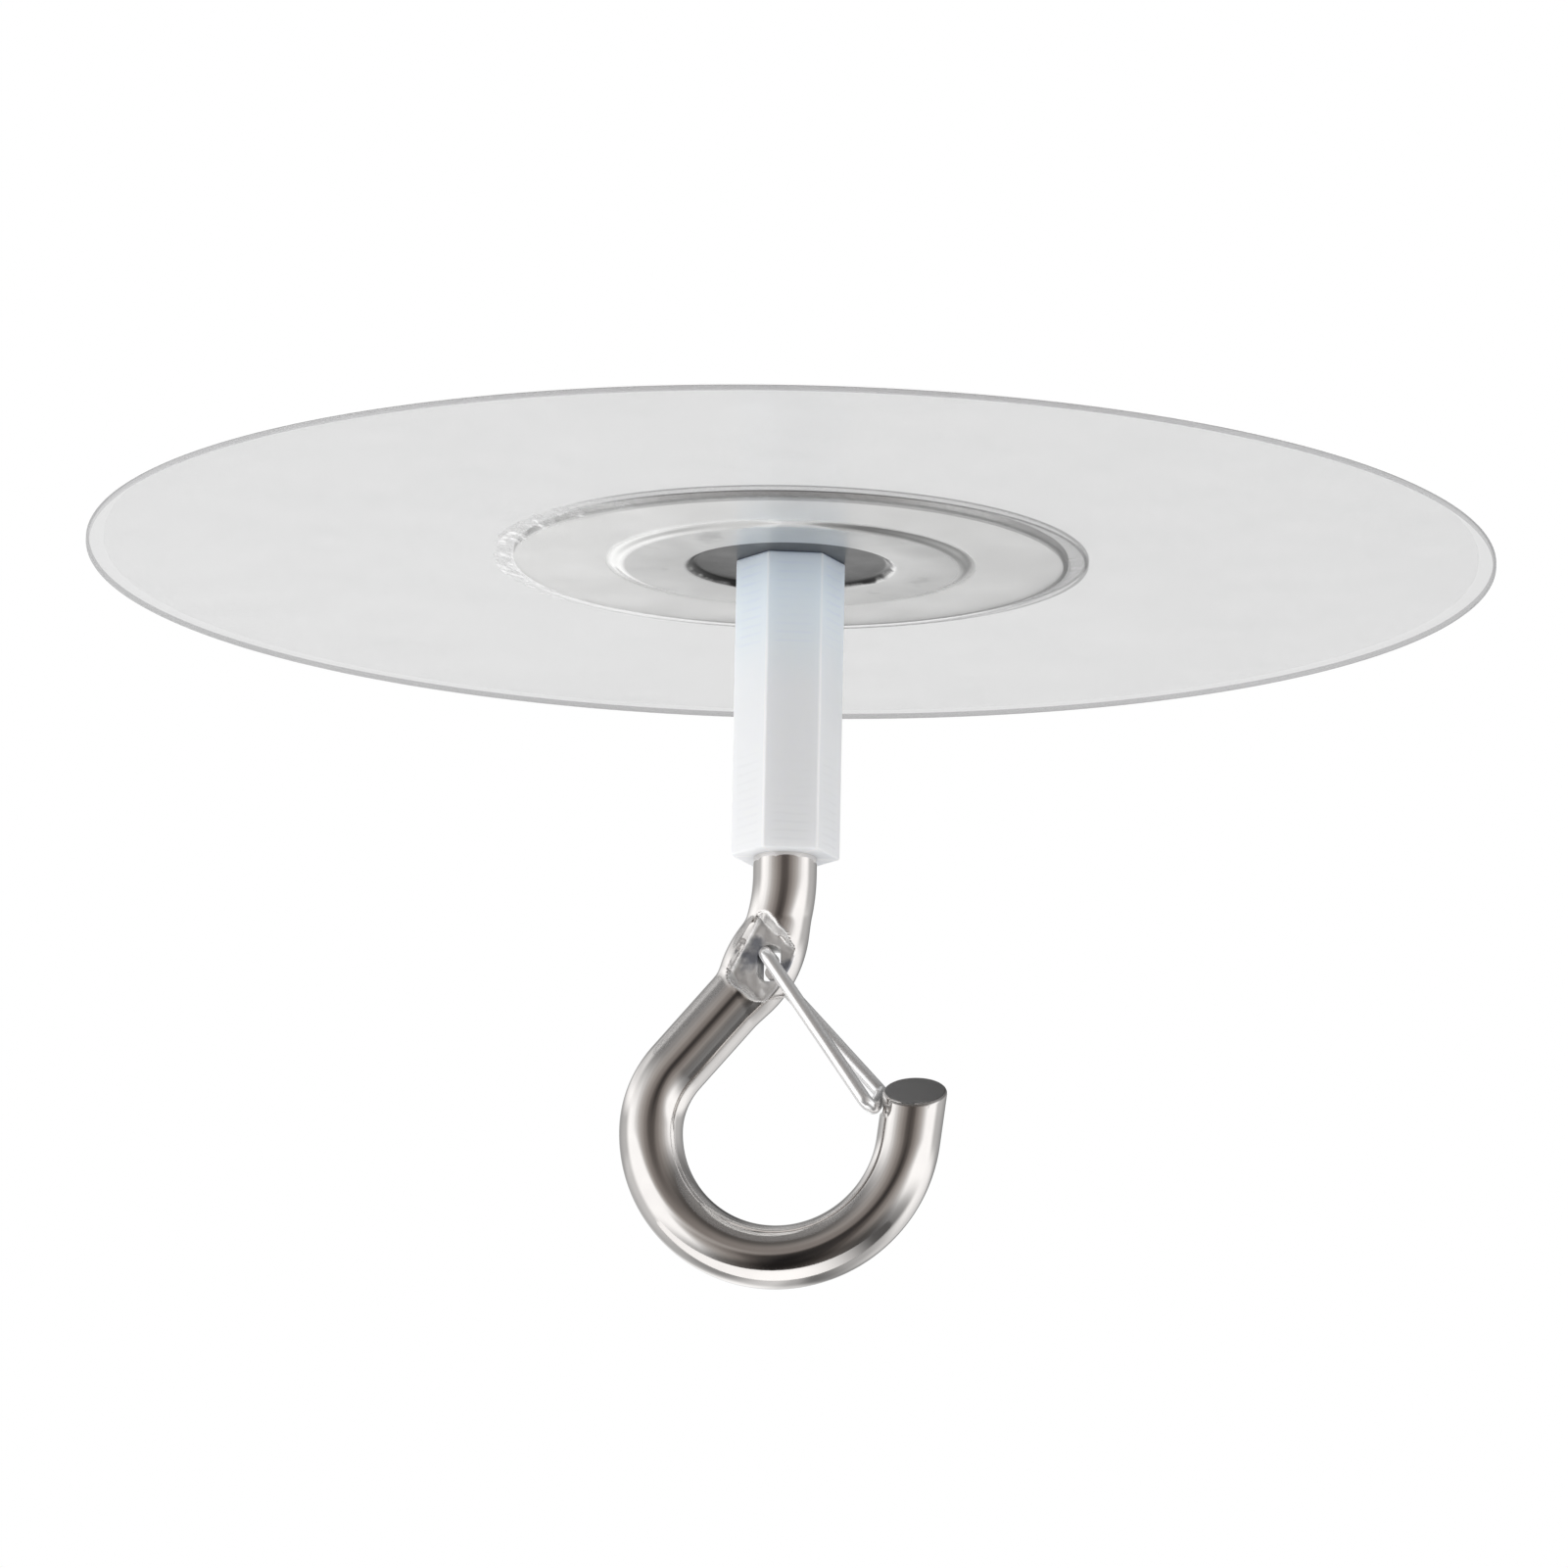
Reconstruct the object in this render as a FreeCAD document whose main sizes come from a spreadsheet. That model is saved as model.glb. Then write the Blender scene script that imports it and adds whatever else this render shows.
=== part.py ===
import FreeCAD, Part
import math
import os
import Sketcher
from FreeCAD import Placement, Rotation, Vector

# Driving sizes in millimetres and degrees
SIZES = {
    "disc_dia": 80.0,
    "film_thick": 0.3,
    "film_hole_gap": 0.23,
    "film_step_gap": 0.1,
    "film_step_run": 0.85,
    "adhesive_thick": 0.3,
    "adhesive_inset": 1.0,
    "plate_dia": 31.5,
    "plate_thick": 0.4,
    "boss_dia": 19.2,
    "boss_drop": 0.3,
    "boss_slope": 28.0,
    "dish_dia": 11.8,
    "dish_slope": 35.0,
    "thread_dia": 3.0,
    "thread_clear": 0.03,
    "thread_lead": 0.4,
    "stud_len": 6.0,
    "sleeve_flats": 5.4,
    "sleeve_len": 17.2,
    "sleeve_turn": 16.0,
    "sleeve_sink": 0.15,
    "bar_dia": 3.6,
    "hook_thread_len": 6.0,
    "shank_len": 1.0,
    "neck_bend": 11.0,
    "arm_angle": 41.5,
    "upper_bend": 5.5,
    "bowl_bend": 7.4,
    "tip_lean": 7.0,
    "tip_len": 3.0,
    "tip_slant": 25.0,
    "tip_bevel": 0.2,
    "flat_turn": 27.0,
    "flat_thick": 2.3,
    "flat_len": 4.2,
    "flat_shoulder": 45.0,
    "neck_swell": 0.33,
    "swell_half": 3.4,
    "slot_offset": 0.65,
    "slot_clear": 0.1,
    "notch_round": 0.6,
    "notch_depth": 0.25,
    "notch_drop": 1.0,
    "wire_dia": 0.8,
    "wire_bend": 0.6,
    "wire_side_gap": 0.2,
    "wire_end_short": 0.15,
    "wire_end_offset": 0.55,
    "gate_swing": 36.0,
    "gate_seat_gap": 0.1,
}

# Sizes worked out from the driving ones, each by a formula in its own cell
WORKED = {
    "disc_radius": "Sizes.disc_dia / 2",
    "adhesive_radius": "Sizes.disc_dia / 2 - Sizes.adhesive_inset",
    "adhesive_low": "-Sizes.adhesive_thick",
    "flange_low": "adhesive_low - Sizes.plate_thick",
    "tier_low": "flange_low - Sizes.boss_drop",
    "tier_top": "tier_low + Sizes.plate_thick",
    "plate_radius": "Sizes.plate_dia / 2",
    "boss_in": "Sizes.boss_dia / 2",
    "boss_out": "boss_in + Sizes.boss_drop / tan(Sizes.boss_slope)",
    "boss_shift": "Sizes.plate_thick * tan(Sizes.boss_slope / 2)",
    "boss_in_low": "boss_in + boss_shift",
    "boss_out_low": "boss_out + boss_shift",
    "dish_out": "Sizes.dish_dia / 2",
    "dish_in": "dish_out - Sizes.boss_drop / tan(Sizes.dish_slope)",
    "dish_shift": "Sizes.plate_thick * tan(Sizes.dish_slope / 2)",
    "dish_out_top": "dish_out + dish_shift",
    "dish_in_top": "dish_in + dish_shift",
    "film_low": "adhesive_low - Sizes.film_thick",
    "film_step_low": "flange_low - Sizes.film_thick",
    "film_step_in": "plate_radius + Sizes.film_step_gap",
    "film_step_out": "film_step_in + Sizes.film_step_run",
    "film_hole": "boss_out_low + Sizes.film_hole_gap",
    "thread_radius": "Sizes.thread_dia / 2 - Sizes.thread_clear",
    "thread_point": "thread_radius - Sizes.thread_lead",
    "stud_end": "flange_low - Sizes.stud_len",
    "stud_lead_top": "stud_end + Sizes.thread_lead",
    "bore_radius": "Sizes.thread_dia / 2",
    "hex_corner": "Sizes.sleeve_flats / 2 / cos(30)",
    "shoulder": "flange_low - Sizes.sleeve_len",
    "bar_radius": "Sizes.bar_dia / 2",
    "hook_thread_root": "shoulder - Sizes.shank_len / 2",
    "hook_thread_end": "shoulder + Sizes.hook_thread_len",
    "hook_lead_low": "hook_thread_end - Sizes.thread_lead",
    "neck_start": "shoulder - Sizes.shank_len",
    "neck_corner": "neck_start - Sizes.neck_bend * tan(Sizes.arm_angle / 2)",
    "bend_gap": "Sizes.bowl_bend - Sizes.upper_bend",
    "bowl_fall": "(Sizes.upper_bend + bend_gap * cos(Sizes.arm_angle)) / sin(Sizes.arm_angle)",
    "bowl_level": "neck_corner - bowl_fall",
    "bend_rise": "Sizes.upper_bend * sin(Sizes.arm_angle)",
    "tip_fall": "Sizes.bowl_bend * sin(Sizes.tip_lean)",
    "tip_path_len": "Sizes.tip_len + Sizes.bar_dia",
    "tip_across": "Sizes.bowl_bend * cos(Sizes.tip_lean) + Sizes.tip_len * sin(Sizes.tip_lean)",
    "tip_level": "bowl_level - tip_fall + Sizes.tip_len * cos(Sizes.tip_lean)",
    "cut_near": "-Sizes.bar_dia",
    "cut_near_level": "tip_level - Sizes.bar_dia * tan(Sizes.tip_slant)",
    "cut_far_level": "tip_level + Sizes.bar_dia * tan(Sizes.tip_slant)",
    "cut_top": "cut_far_level + 2 * Sizes.bar_dia",
    "cut_span": "2 * Sizes.bar_dia",
    "flat_across": "Sizes.neck_bend * (cos(Sizes.flat_turn) - 1)",
    "flat_level": "neck_start - Sizes.neck_bend * sin(Sizes.flat_turn)",
    "swell_top": "bar_radius + Sizes.neck_swell",
    "swell_end": "0.7 * bar_radius",
    "swell_rise": "swell_top - swell_end",
    "swell_curve": "(Sizes.swell_half ^ 2 + swell_rise ^ 2) / 2 / swell_rise",
    "swell_low": "-Sizes.swell_half",
    "flat_back": "Sizes.flat_thick / 2",
    "flat_front": "-flat_back",
    "flat_back_out": "2 * swell_top - flat_back",
    "flat_front_out": "-flat_back_out",
    "flat_up": "Sizes.flat_len / 2",
    "flat_down": "-flat_up",
    "flat_up_out": "flat_up + (flat_back_out - flat_back) / tan(Sizes.flat_shoulder)",
    "flat_down_out": "-flat_up_out",
    "slot_across": "flat_across + Sizes.slot_offset * cos(Sizes.flat_turn)",
    "slot_level": "flat_level - Sizes.slot_offset * sin(Sizes.flat_turn)",
    "wire_radius": "Sizes.wire_dia / 2",
    "slot_round": "wire_radius + Sizes.wire_end_offset * sin(Sizes.gate_swing / 2) + Sizes.slot_clear",
    "slot_up": "wire_radius + Sizes.wire_end_offset + Sizes.slot_clear - slot_round",
    "slot_down": "-slot_up",
    "notch_out": "bar_radius + Sizes.notch_round - Sizes.notch_depth",
    "notch_across": "tip_across - Sizes.notch_drop * sin(Sizes.tip_lean) - notch_out * cos(Sizes.tip_lean)",
    "notch_level": "tip_level - Sizes.notch_drop * cos(Sizes.tip_lean) + notch_out * sin(Sizes.tip_lean)",
    "gate_reach": "sqrt((notch_across - slot_across) ^ 2 + (notch_level - slot_level) ^ 2)",
    "gate_seat": "Sizes.notch_round - wire_radius - Sizes.gate_seat_gap",
    "gate_end_across": "notch_across + gate_seat * (slot_level - notch_level) / gate_reach",
    "gate_end_level": "notch_level + gate_seat * (notch_across - slot_across) / gate_reach",
    "gate_leg": "flat_back + Sizes.wire_side_gap + wire_radius",
    "gate_tilt": "gate_leg * tan(Sizes.tip_slant)",
    "gate_end_depth": "flat_back - Sizes.wire_end_short",
}

ORIGIN_POINT = (-1, 1)
SKETCH_AXES = {"across": -1, "upright": -2}
NEAR = 1e-4

doc = FreeCAD.newDocument("ceiling_hook")


def fill_sheet(name, rows, lead):
    """Write one row for each named value and give its cell the name."""
    sheet = doc.addObject("Spreadsheet::Sheet", name)
    for number, (alias, value) in enumerate(rows.items(), 1):
        cell = "B%d" % number
        sheet.set("A%d" % number, alias)
        sheet.set(cell, lead + str(value))
        sheet.setAlias(cell, alias)
    return sheet


driving_sheet = fill_sheet("Sizes", SIZES, "")
worked_sheet = fill_sheet("Worked", WORKED, "=")
doc.recompute()


def size(name):
    """Give the number that a named cell holds."""
    sheet = driving_sheet if name in SIZES else worked_sheet
    value = getattr(sheet, name)
    return getattr(value, "Value", value)


def ref(name):
    """Give the text that binds a property to a named cell."""
    return ("Sizes." if name in SIZES else "Worked.") + name


def new_body(name):
    """Add a body that becomes one sub-part."""
    body = doc.addObject("PartDesign::Body", name)
    body.Label = name
    return body


def new_sketch(body, name, role, shift=(None, None, None), axis=None, turn=None):
    """Add a sketch on one of the body's own planes, moved and turned by named sizes."""
    sketch = body.newObject("Sketcher::SketchObject", name)
    plane = [feature for feature in body.Origin.OriginFeatures if feature.Role == role][0]
    sketch.AttachmentSupport = [(plane, "")]
    sketch.MapMode = "FlatFace"
    base = Vector(*[size(part) if part else 0.0 for part in shift])
    spin = Rotation(axis, size(turn)) if turn else Rotation()
    sketch.AttachmentOffset = Placement(base, spin)
    for letter, part in zip("xyz", shift):
        if part:
            sketch.setExpression("AttachmentOffset.Base." + letter, ref(part))
    if turn:
        sketch.setExpression("AttachmentOffset.Rotation.Angle", ref(turn))
    return sketch


def bind(sketch, kind, targets, name):
    """Add a dimension to a sketch and drive it from a named cell."""
    index = sketch.addConstraint(Sketcher.Constraint(kind, *targets, size(name)))
    sketch.setExpression("Constraints[%d]" % index, ref(name))


def relate(sketch, kind, *targets):
    """Add a constraint that has no size."""
    sketch.addConstraint(Sketcher.Constraint(kind, *targets))


def place_point(sketch, geometry, end, across, level):
    """Fix a point of the sketch at two named sizes, where None is the axis itself."""
    for kind, name, axis in (("DistanceX", across, "upright"), ("DistanceY", level, "across")):
        if name is None:
            relate(sketch, "PointOnObject", geometry, end, SKETCH_AXES[axis])
        else:
            bind(sketch, kind, (*ORIGIN_POINT, geometry, end), name)


def draw_outline(sketch, corners):
    """Draw a closed outline of straight lines through corners given as pairs of named sizes."""
    points = [Vector(*[size(name) if name else 0.0 for name in corner], 0.0) for corner in corners]
    first = sketch.GeometryCount
    count = len(points)
    for index in range(count):
        sketch.addGeometry(Part.LineSegment(points[index], points[(index + 1) % count]))
    for index in range(count):
        relate(sketch, "Coincident", first + index, 2, first + (index + 1) % count, 1)
    for index, (across, level) in enumerate(corners):
        place_point(sketch, first + index, 1, across, level)


def draw_circle(sketch, radius, across=None, level=None):
    """Draw a circle of a named radius."""
    centre = Vector(size(across) if across else 0.0, size(level) if level else 0.0, 0.0)
    index = sketch.addGeometry(Part.Circle(centre, Vector(0, 0, 1), size(radius)))
    place_point(sketch, index, 3, across, level)
    bind(sketch, "Radius", (index,), radius)
    return index


def arc(centre, radius, start, end):
    """Give a sketch arc that runs anticlockwise between two angles in degrees."""
    whole = Part.Circle(Vector(*centre, 0.0), Vector(0, 0, 1), radius)
    return Part.ArcOfCircle(whole, math.radians(start), math.radians(end))


def turn_profile(body, name, sketch):
    """Revolve a sketch about its own upright axis."""
    feature = body.newObject("PartDesign::Revolution", name)
    feature.Profile = sketch
    feature.ReferenceAxis = (sketch, ["V_Axis"])
    feature.Angle = 360.0
    return feature


def turned(body, name, corners):
    """Revolve a straight-sided outline about the part's upright axis."""
    sketch = new_sketch(body, name + "_profile", "XZ_Plane")
    draw_outline(sketch, corners)
    return turn_profile(body, name + "_turned", sketch)


def cut_across(body, name, sketch, span):
    """Cut a sketch's outline out of the body, as far to one side of its plane as to the other."""
    pocket = body.newObject("PartDesign::Pocket", name)
    pocket.Profile = sketch
    pocket.Type = "Length"
    pocket.SideType = "Symmetric"
    pocket.setExpression("Length", ref(span))
    return pocket


def ring_edges(feature, rings):
    """List the circular edges that lie at the given pairs of named radius and level."""
    doc.recompute()
    names = []
    for number, edge in enumerate(feature.Shape.Edges, 1):
        if not isinstance(edge.Curve, Part.Circle):
            continue
        for radius, level in rings:
            same_radius = abs(edge.Curve.Radius - size(radius)) < NEAR
            if same_radius and abs(edge.Curve.Center.z - size(level)) < NEAR:
                names.append("Edge%d" % number)
    return names


def bevel(body, name, feature, edges, amount):
    """Bevel a list of edges by a named size."""
    chamfer = body.newObject("PartDesign::Chamfer", name)
    chamfer.Base = (feature, edges)
    chamfer.setExpression("Size", ref(amount))
    return chamfer


# Adhesive layer on the ceiling side
adhesive = new_body("adhesive_layer")
adhesive_sketch = new_sketch(adhesive, "adhesive_outline", "XY_Plane", (None, None, "adhesive_low"))
draw_circle(adhesive_sketch, "adhesive_radius")
adhesive_pad = adhesive.newObject("PartDesign::Pad", "adhesive_pad")
adhesive_pad.Profile = adhesive_sketch
adhesive_pad.setExpression("Length", ref("adhesive_thick"))

# Clear disc, stepped over the plate's edge
disc = new_body("clear_disc")
turned(
    disc,
    "disc",
    [
        ("disc_radius", "film_low"),
        ("disc_radius", "adhesive_low"),
        ("film_step_out", "adhesive_low"),
        ("film_step_in", "flange_low"),
        ("film_hole", "flange_low"),
        ("film_hole", "film_step_low"),
        ("film_step_in", "film_step_low"),
        ("film_step_out", "film_low"),
    ],
)

# Pressed steel plate: flange, raised ring and a dish that goes back to the flange's level
plate = new_body("backing_plate")
turned(
    plate,
    "plate",
    [
        ("plate_radius", "flange_low"),
        ("plate_radius", "adhesive_low"),
        ("boss_out", "adhesive_low"),
        ("boss_in", "tier_top"),
        ("dish_out_top", "tier_top"),
        ("dish_in_top", "adhesive_low"),
        (None, "adhesive_low"),
        (None, "flange_low"),
        ("dish_in", "flange_low"),
        ("dish_out", "tier_low"),
        ("boss_in_low", "tier_low"),
        ("boss_out_low", "flange_low"),
    ],
)

# Threaded stud, welded by its end to the middle of the dish
stud = new_body("stud")
turned(
    stud,
    "stud",
    [
        (None, "flange_low"),
        ("thread_radius", "flange_low"),
        ("thread_radius", "stud_lead_top"),
        ("thread_point", "stud_end"),
        (None, "stud_end"),
    ],
)

# Hexagonal sleeve with a bore right through
sleeve = new_body("hex_sleeve")
sleeve_sketch = new_sketch(
    sleeve, "sleeve_outline", "XY_Plane", (None, None, "shoulder"), Vector(0, 0, 1), "sleeve_turn"
)
hex_points = [
    Vector(0, 0, 0) + Rotation(Vector(0, 0, 1), 60.0 * index).multVec(Vector(size("hex_corner"), 0, 0))
    for index in range(6)
]
for index in range(6):
    sleeve_sketch.addGeometry(Part.LineSegment(hex_points[index], hex_points[(index + 1) % 6]))
hex_circle = sleeve_sketch.addGeometry(Part.Circle(Vector(), Vector(0, 0, 1), size("hex_corner")), True)
relate(sleeve_sketch, "Coincident", hex_circle, 3, *ORIGIN_POINT)
bind(sleeve_sketch, "Radius", (hex_circle,), "hex_corner")
for index in range(6):
    relate(sleeve_sketch, "Coincident", index, 2, (index + 1) % 6, 1)
    relate(sleeve_sketch, "PointOnObject", index, 1, hex_circle)
for index in range(1, 6):
    relate(sleeve_sketch, "Equal", 0, index)
relate(sleeve_sketch, "Horizontal", 1)
draw_circle(sleeve_sketch, "bore_radius")
sleeve_pad = sleeve.newObject("PartDesign::Pad", "sleeve_pad")
sleeve_pad.Profile = sleeve_sketch
sleeve_pad.setExpression("Length", ref("sleeve_len"))
bore_rims = ring_edges(sleeve_pad, [("bore_radius", "shoulder"), ("bore_radius", "flange_low")])
bevel(sleeve, "sleeve_sinks", sleeve_pad, bore_rims, "sleeve_sink")

# Hook: the line that the bar follows
hook = new_body("hook")
path = new_sketch(hook, "hook_path", "XZ_Plane")
arm = size("arm_angle")
lean = size("tip_lean")
neck_centre = (-size("neck_bend"), size("neck_start"))
bend_centre = (-size("bend_gap"), size("bowl_level"))
bowl_centre = (0.0, size("bowl_level"))
shank_line = Part.LineSegment(Vector(0, size("shoulder"), 0), Vector(0, size("neck_start"), 0))
neck_arc = arc(neck_centre, size("neck_bend"), -arm, 0.0)
bend_arc = arc(bend_centre, size("upper_bend"), 180.0 - arm, 180.0)
bowl_arc = arc(bowl_centre, size("bowl_bend"), 180.0, 360.0 - lean)
arm_line = Part.LineSegment(neck_arc.StartPoint, bend_arc.StartPoint)
tip_run = Rotation(Vector(0, 0, -1), lean).multVec(Vector(0, size("tip_path_len"), 0))
tip_line = Part.LineSegment(bowl_arc.EndPoint, bowl_arc.EndPoint + tip_run)
SHANK, NECK, ARM, BEND, BOWL, TIP = [
    path.addGeometry(piece) for piece in (shank_line, neck_arc, arm_line, bend_arc, bowl_arc, tip_line)
]
for joined in ((SHANK, 2, NECK, 2), (NECK, 1, ARM, 1), (ARM, 2, BEND, 1), (BEND, 2, BOWL, 1), (BOWL, 2, TIP, 1)):
    relate(path, "Tangent", *joined)
place_point(path, SHANK, 1, None, "shoulder")
relate(path, "Vertical", SHANK)
bind(path, "DistanceY", (SHANK, 2, SHANK, 1), "shank_len")
bind(path, "Radius", (NECK,), "neck_bend")
bind(path, "Radius", (BEND,), "upper_bend")
bind(path, "Radius", (BOWL,), "bowl_bend")
bind(path, "DistanceY", (BEND, 3, BEND, 1), "bend_rise")
relate(path, "PointOnObject", BOWL, 3, SKETCH_AXES["upright"])
relate(path, "Horizontal", BEND, 3, BOWL, 3)
bind(path, "DistanceY", (BOWL, 2, BOWL, 3), "tip_fall")
bind(path, "Distance", (TIP,), "tip_path_len")

# Hook: the round bar and its threaded shank
section = new_sketch(hook, "hook_section", "XY_Plane", (None, None, "shoulder"))
draw_circle(section, "bar_radius")
bar = hook.newObject("PartDesign::AdditivePipe", "hook_bar")
bar.Profile = section
bar.Spine = (path, ["Edge%d" % (piece + 1) for piece in (SHANK, NECK, ARM, BEND, BOWL, TIP)])
turned(
    hook,
    "hook_thread",
    [
        (None, "hook_thread_root"),
        ("thread_radius", "hook_thread_root"),
        ("thread_radius", "hook_lead_low"),
        ("thread_point", "hook_thread_end"),
        (None, "hook_thread_end"),
    ],
)

# Hook: metal that the press spread sideways at the neck
swell = new_sketch(
    hook, "neck_swell", "XZ_Plane", ("flat_across", "flat_level", None), Vector(0, 0, -1), "flat_turn"
)
swell_half = size("swell_half")
swell_end = size("swell_end")
swell_curve = size("swell_curve")
swell_angle = math.degrees(math.asin(swell_half / swell_curve))
swell_arc = arc((size("swell_top") - swell_curve, 0.0), swell_curve, -swell_angle, swell_angle)
LOW, ROUND, HIGH, SPINDLE = [
    swell.addGeometry(piece)
    for piece in (
        Part.LineSegment(Vector(0, -swell_half, 0), Vector(swell_end, -swell_half, 0)),
        swell_arc,
        Part.LineSegment(Vector(swell_end, swell_half, 0), Vector(0, swell_half, 0)),
        Part.LineSegment(Vector(0, swell_half, 0), Vector(0, -swell_half, 0)),
    )
]
for first, second in ((LOW, ROUND), (ROUND, HIGH), (HIGH, SPINDLE), (SPINDLE, LOW)):
    relate(swell, "Coincident", first, 2, second, 1)
place_point(swell, LOW, 1, None, "swell_low")
place_point(swell, LOW, 2, "swell_end", "swell_low")
place_point(swell, HIGH, 1, "swell_end", "swell_half")
place_point(swell, HIGH, 2, None, "swell_half")
bind(swell, "Radius", (ROUND,), "swell_curve")
turn_profile(hook, "neck_swell_turned", swell)

# Hook: pressed flats on both sides of the neck
flats = new_sketch(hook, "neck_flats", "YZ_Plane", (None, "flat_level", "flat_across"), Vector(1, 0, 0), "flat_turn")
for face, outside in (("flat_front", "flat_front_out"), ("flat_back", "flat_back_out")):
    draw_outline(
        flats,
        [(face, "flat_down"), (face, "flat_up"), (outside, "flat_up_out"), (outside, "flat_down_out")],
    )
cut_across(hook, "neck_flats_cut", flats, "cut_span")

# Hook: pivot slot through the flats
slot = new_sketch(hook, "pivot_slot", "XZ_Plane", ("slot_across", "slot_level", None))
slot_round = size("slot_round")
slot_up = size("slot_up")
SLOT_TOP, SLOT_LEFT, SLOT_BASE, SLOT_RIGHT = [
    slot.addGeometry(piece)
    for piece in (
        arc((0.0, slot_up), slot_round, 0.0, 180.0),
        Part.LineSegment(Vector(-slot_round, slot_up, 0), Vector(-slot_round, -slot_up, 0)),
        arc((0.0, -slot_up), slot_round, 180.0, 360.0),
        Part.LineSegment(Vector(slot_round, -slot_up, 0), Vector(slot_round, slot_up, 0)),
    )
]
slot_order = [SLOT_TOP, SLOT_LEFT, SLOT_BASE, SLOT_RIGHT]
for index in range(4):
    relate(slot, "Tangent", slot_order[index], 2, slot_order[(index + 1) % 4], 1)
place_point(slot, SLOT_TOP, 3, None, "slot_up")
place_point(slot, SLOT_BASE, 3, None, "slot_down")
bind(slot, "Radius", (SLOT_TOP,), "slot_round")
relate(slot, "Equal", SLOT_TOP, SLOT_BASE)
cut_across(hook, "pivot_slot_cut", slot, "cut_span")

# Hook: slanted end of the tip, with its rim bevelled
tip = new_sketch(hook, "tip_end", "YZ_Plane", (None, None, "tip_across"))
draw_outline(
    tip,
    [
        ("cut_near", "cut_near_level"),
        ("bar_dia", "cut_far_level"),
        ("bar_dia", "cut_top"),
        ("cut_near", "cut_top"),
    ],
)
tip_cut = cut_across(hook, "tip_end_cut", tip, "cut_span")
doc.recompute()
slope = math.tan(math.radians(size("tip_slant")))
tip_edges = []
for number, edge in enumerate(tip_cut.Shape.Edges, 1):
    spots = [vertex.Point for vertex in edge.Vertexes] + [edge.CenterOfMass]
    if all(abs(spot.z - size("tip_level") - spot.y * slope) < NEAR for spot in spots):
        tip_edges.append("Edge%d" % number)
bevel(hook, "tip_rim", tip_cut, tip_edges, "tip_bevel")

# Hook: notch in which the gate's end rests
notch = new_sketch(
    hook, "tip_notch", "XZ_Plane", ("notch_across", "notch_level", None), Vector(1, 0, 0), "tip_slant"
)
draw_circle(notch, "notch_round")
cut_across(hook, "tip_notch_cut", notch, "cut_span")


def rounded_wire(points, radius):
    """Join points by straight runs whose corners are rounded to one radius."""
    edges = []
    start = points[0]
    for before, corner, after in zip(points, points[1:], points[2:]):
        back = (before - corner).normalize()
        ahead = (after - corner).normalize()
        half = back.getAngle(ahead) / 2.0
        setback = radius / math.tan(half)
        inward = (back + ahead).normalize()
        middle = corner + inward * (radius / math.sin(half) - radius)
        entry = corner + back * setback
        leave = corner + ahead * setback
        edges.append(Part.LineSegment(start, entry).toShape())
        edges.append(Part.Arc(entry, middle, leave).toShape())
        start = leave
    edges.append(Part.LineSegment(start, points[-1]).toShape())
    return Part.Wire(edges)


# Gate: one wire whose two ends sit above and below each other in the slot
half_swing = math.radians(size("gate_swing") / 2.0)
upward = Vector(-math.sin(half_swing), 0.0, math.cos(half_swing)) * size("wire_end_offset")
pivot = Vector(size("slot_across"), 0.0, size("slot_level"))
gate_end = Vector(size("gate_end_across"), 0.0, size("gate_end_level"))
leg = Vector(0.0, size("gate_leg"), 0.0)
tilt = Vector(0.0, 0.0, size("gate_tilt"))
depth = Vector(0.0, size("gate_end_depth"), 0.0)
gate_points = [
    pivot + upward + depth,
    pivot + upward - leg,
    gate_end - leg - tilt,
    gate_end + leg + tilt,
    pivot - upward + leg,
    pivot - upward - depth,
]
gate_path = doc.addObject("Part::Feature", "gate_path")
gate_path.Shape = rounded_wire(gate_points, size("wire_bend"))
gate_section = doc.addObject("Part::Circle", "gate_section")
gate_section.setExpression("Radius", ref("wire_radius"))
gate_section.Placement = Placement(gate_points[0], Rotation(Vector(0, 0, 1), Vector(0, 1, 0)))
gate = doc.addObject("Part::Sweep", "gate")
gate.Label = "gate"
gate.Sections = [gate_section]
gate.Spine = (gate_path, ["Edge%d" % (number + 1) for number in range(len(gate_path.Shape.Edges))])
gate.Solid = True
gate.Frenet = False
doc.recompute()

# Every object is sound before anything is written
for item in doc.Objects:
    if "Invalid" in item.State or "Error" in item.State:
        raise RuntimeError("%s could not be built: %s" % (item.Label, item.State))
nodes = [adhesive, disc, plate, stud, sleeve, hook, gate]
for node in nodes:
    if node.Shape.isNull() or not node.Shape.isValid() or len(node.Shape.Solids) != 1:
        raise RuntimeError("%s is not one sound solid" % node.Label)

os.makedirs("parts", exist_ok=True)
for node in nodes:
    node.Shape.exportStep(os.path.join("parts", node.Label + ".step"))
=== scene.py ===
"""Looks of a stick-on ceiling hook: clear disc, pressed plate, nylon sleeve, steel hook and wire gate."""

import logging
import math
from collections.abc import Callable, Iterator, Sequence
from contextlib import contextmanager
from dataclasses import dataclass
from enum import Enum

import bmesh
import bpy
from mathutils import Matrix, Vector, noise


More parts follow.
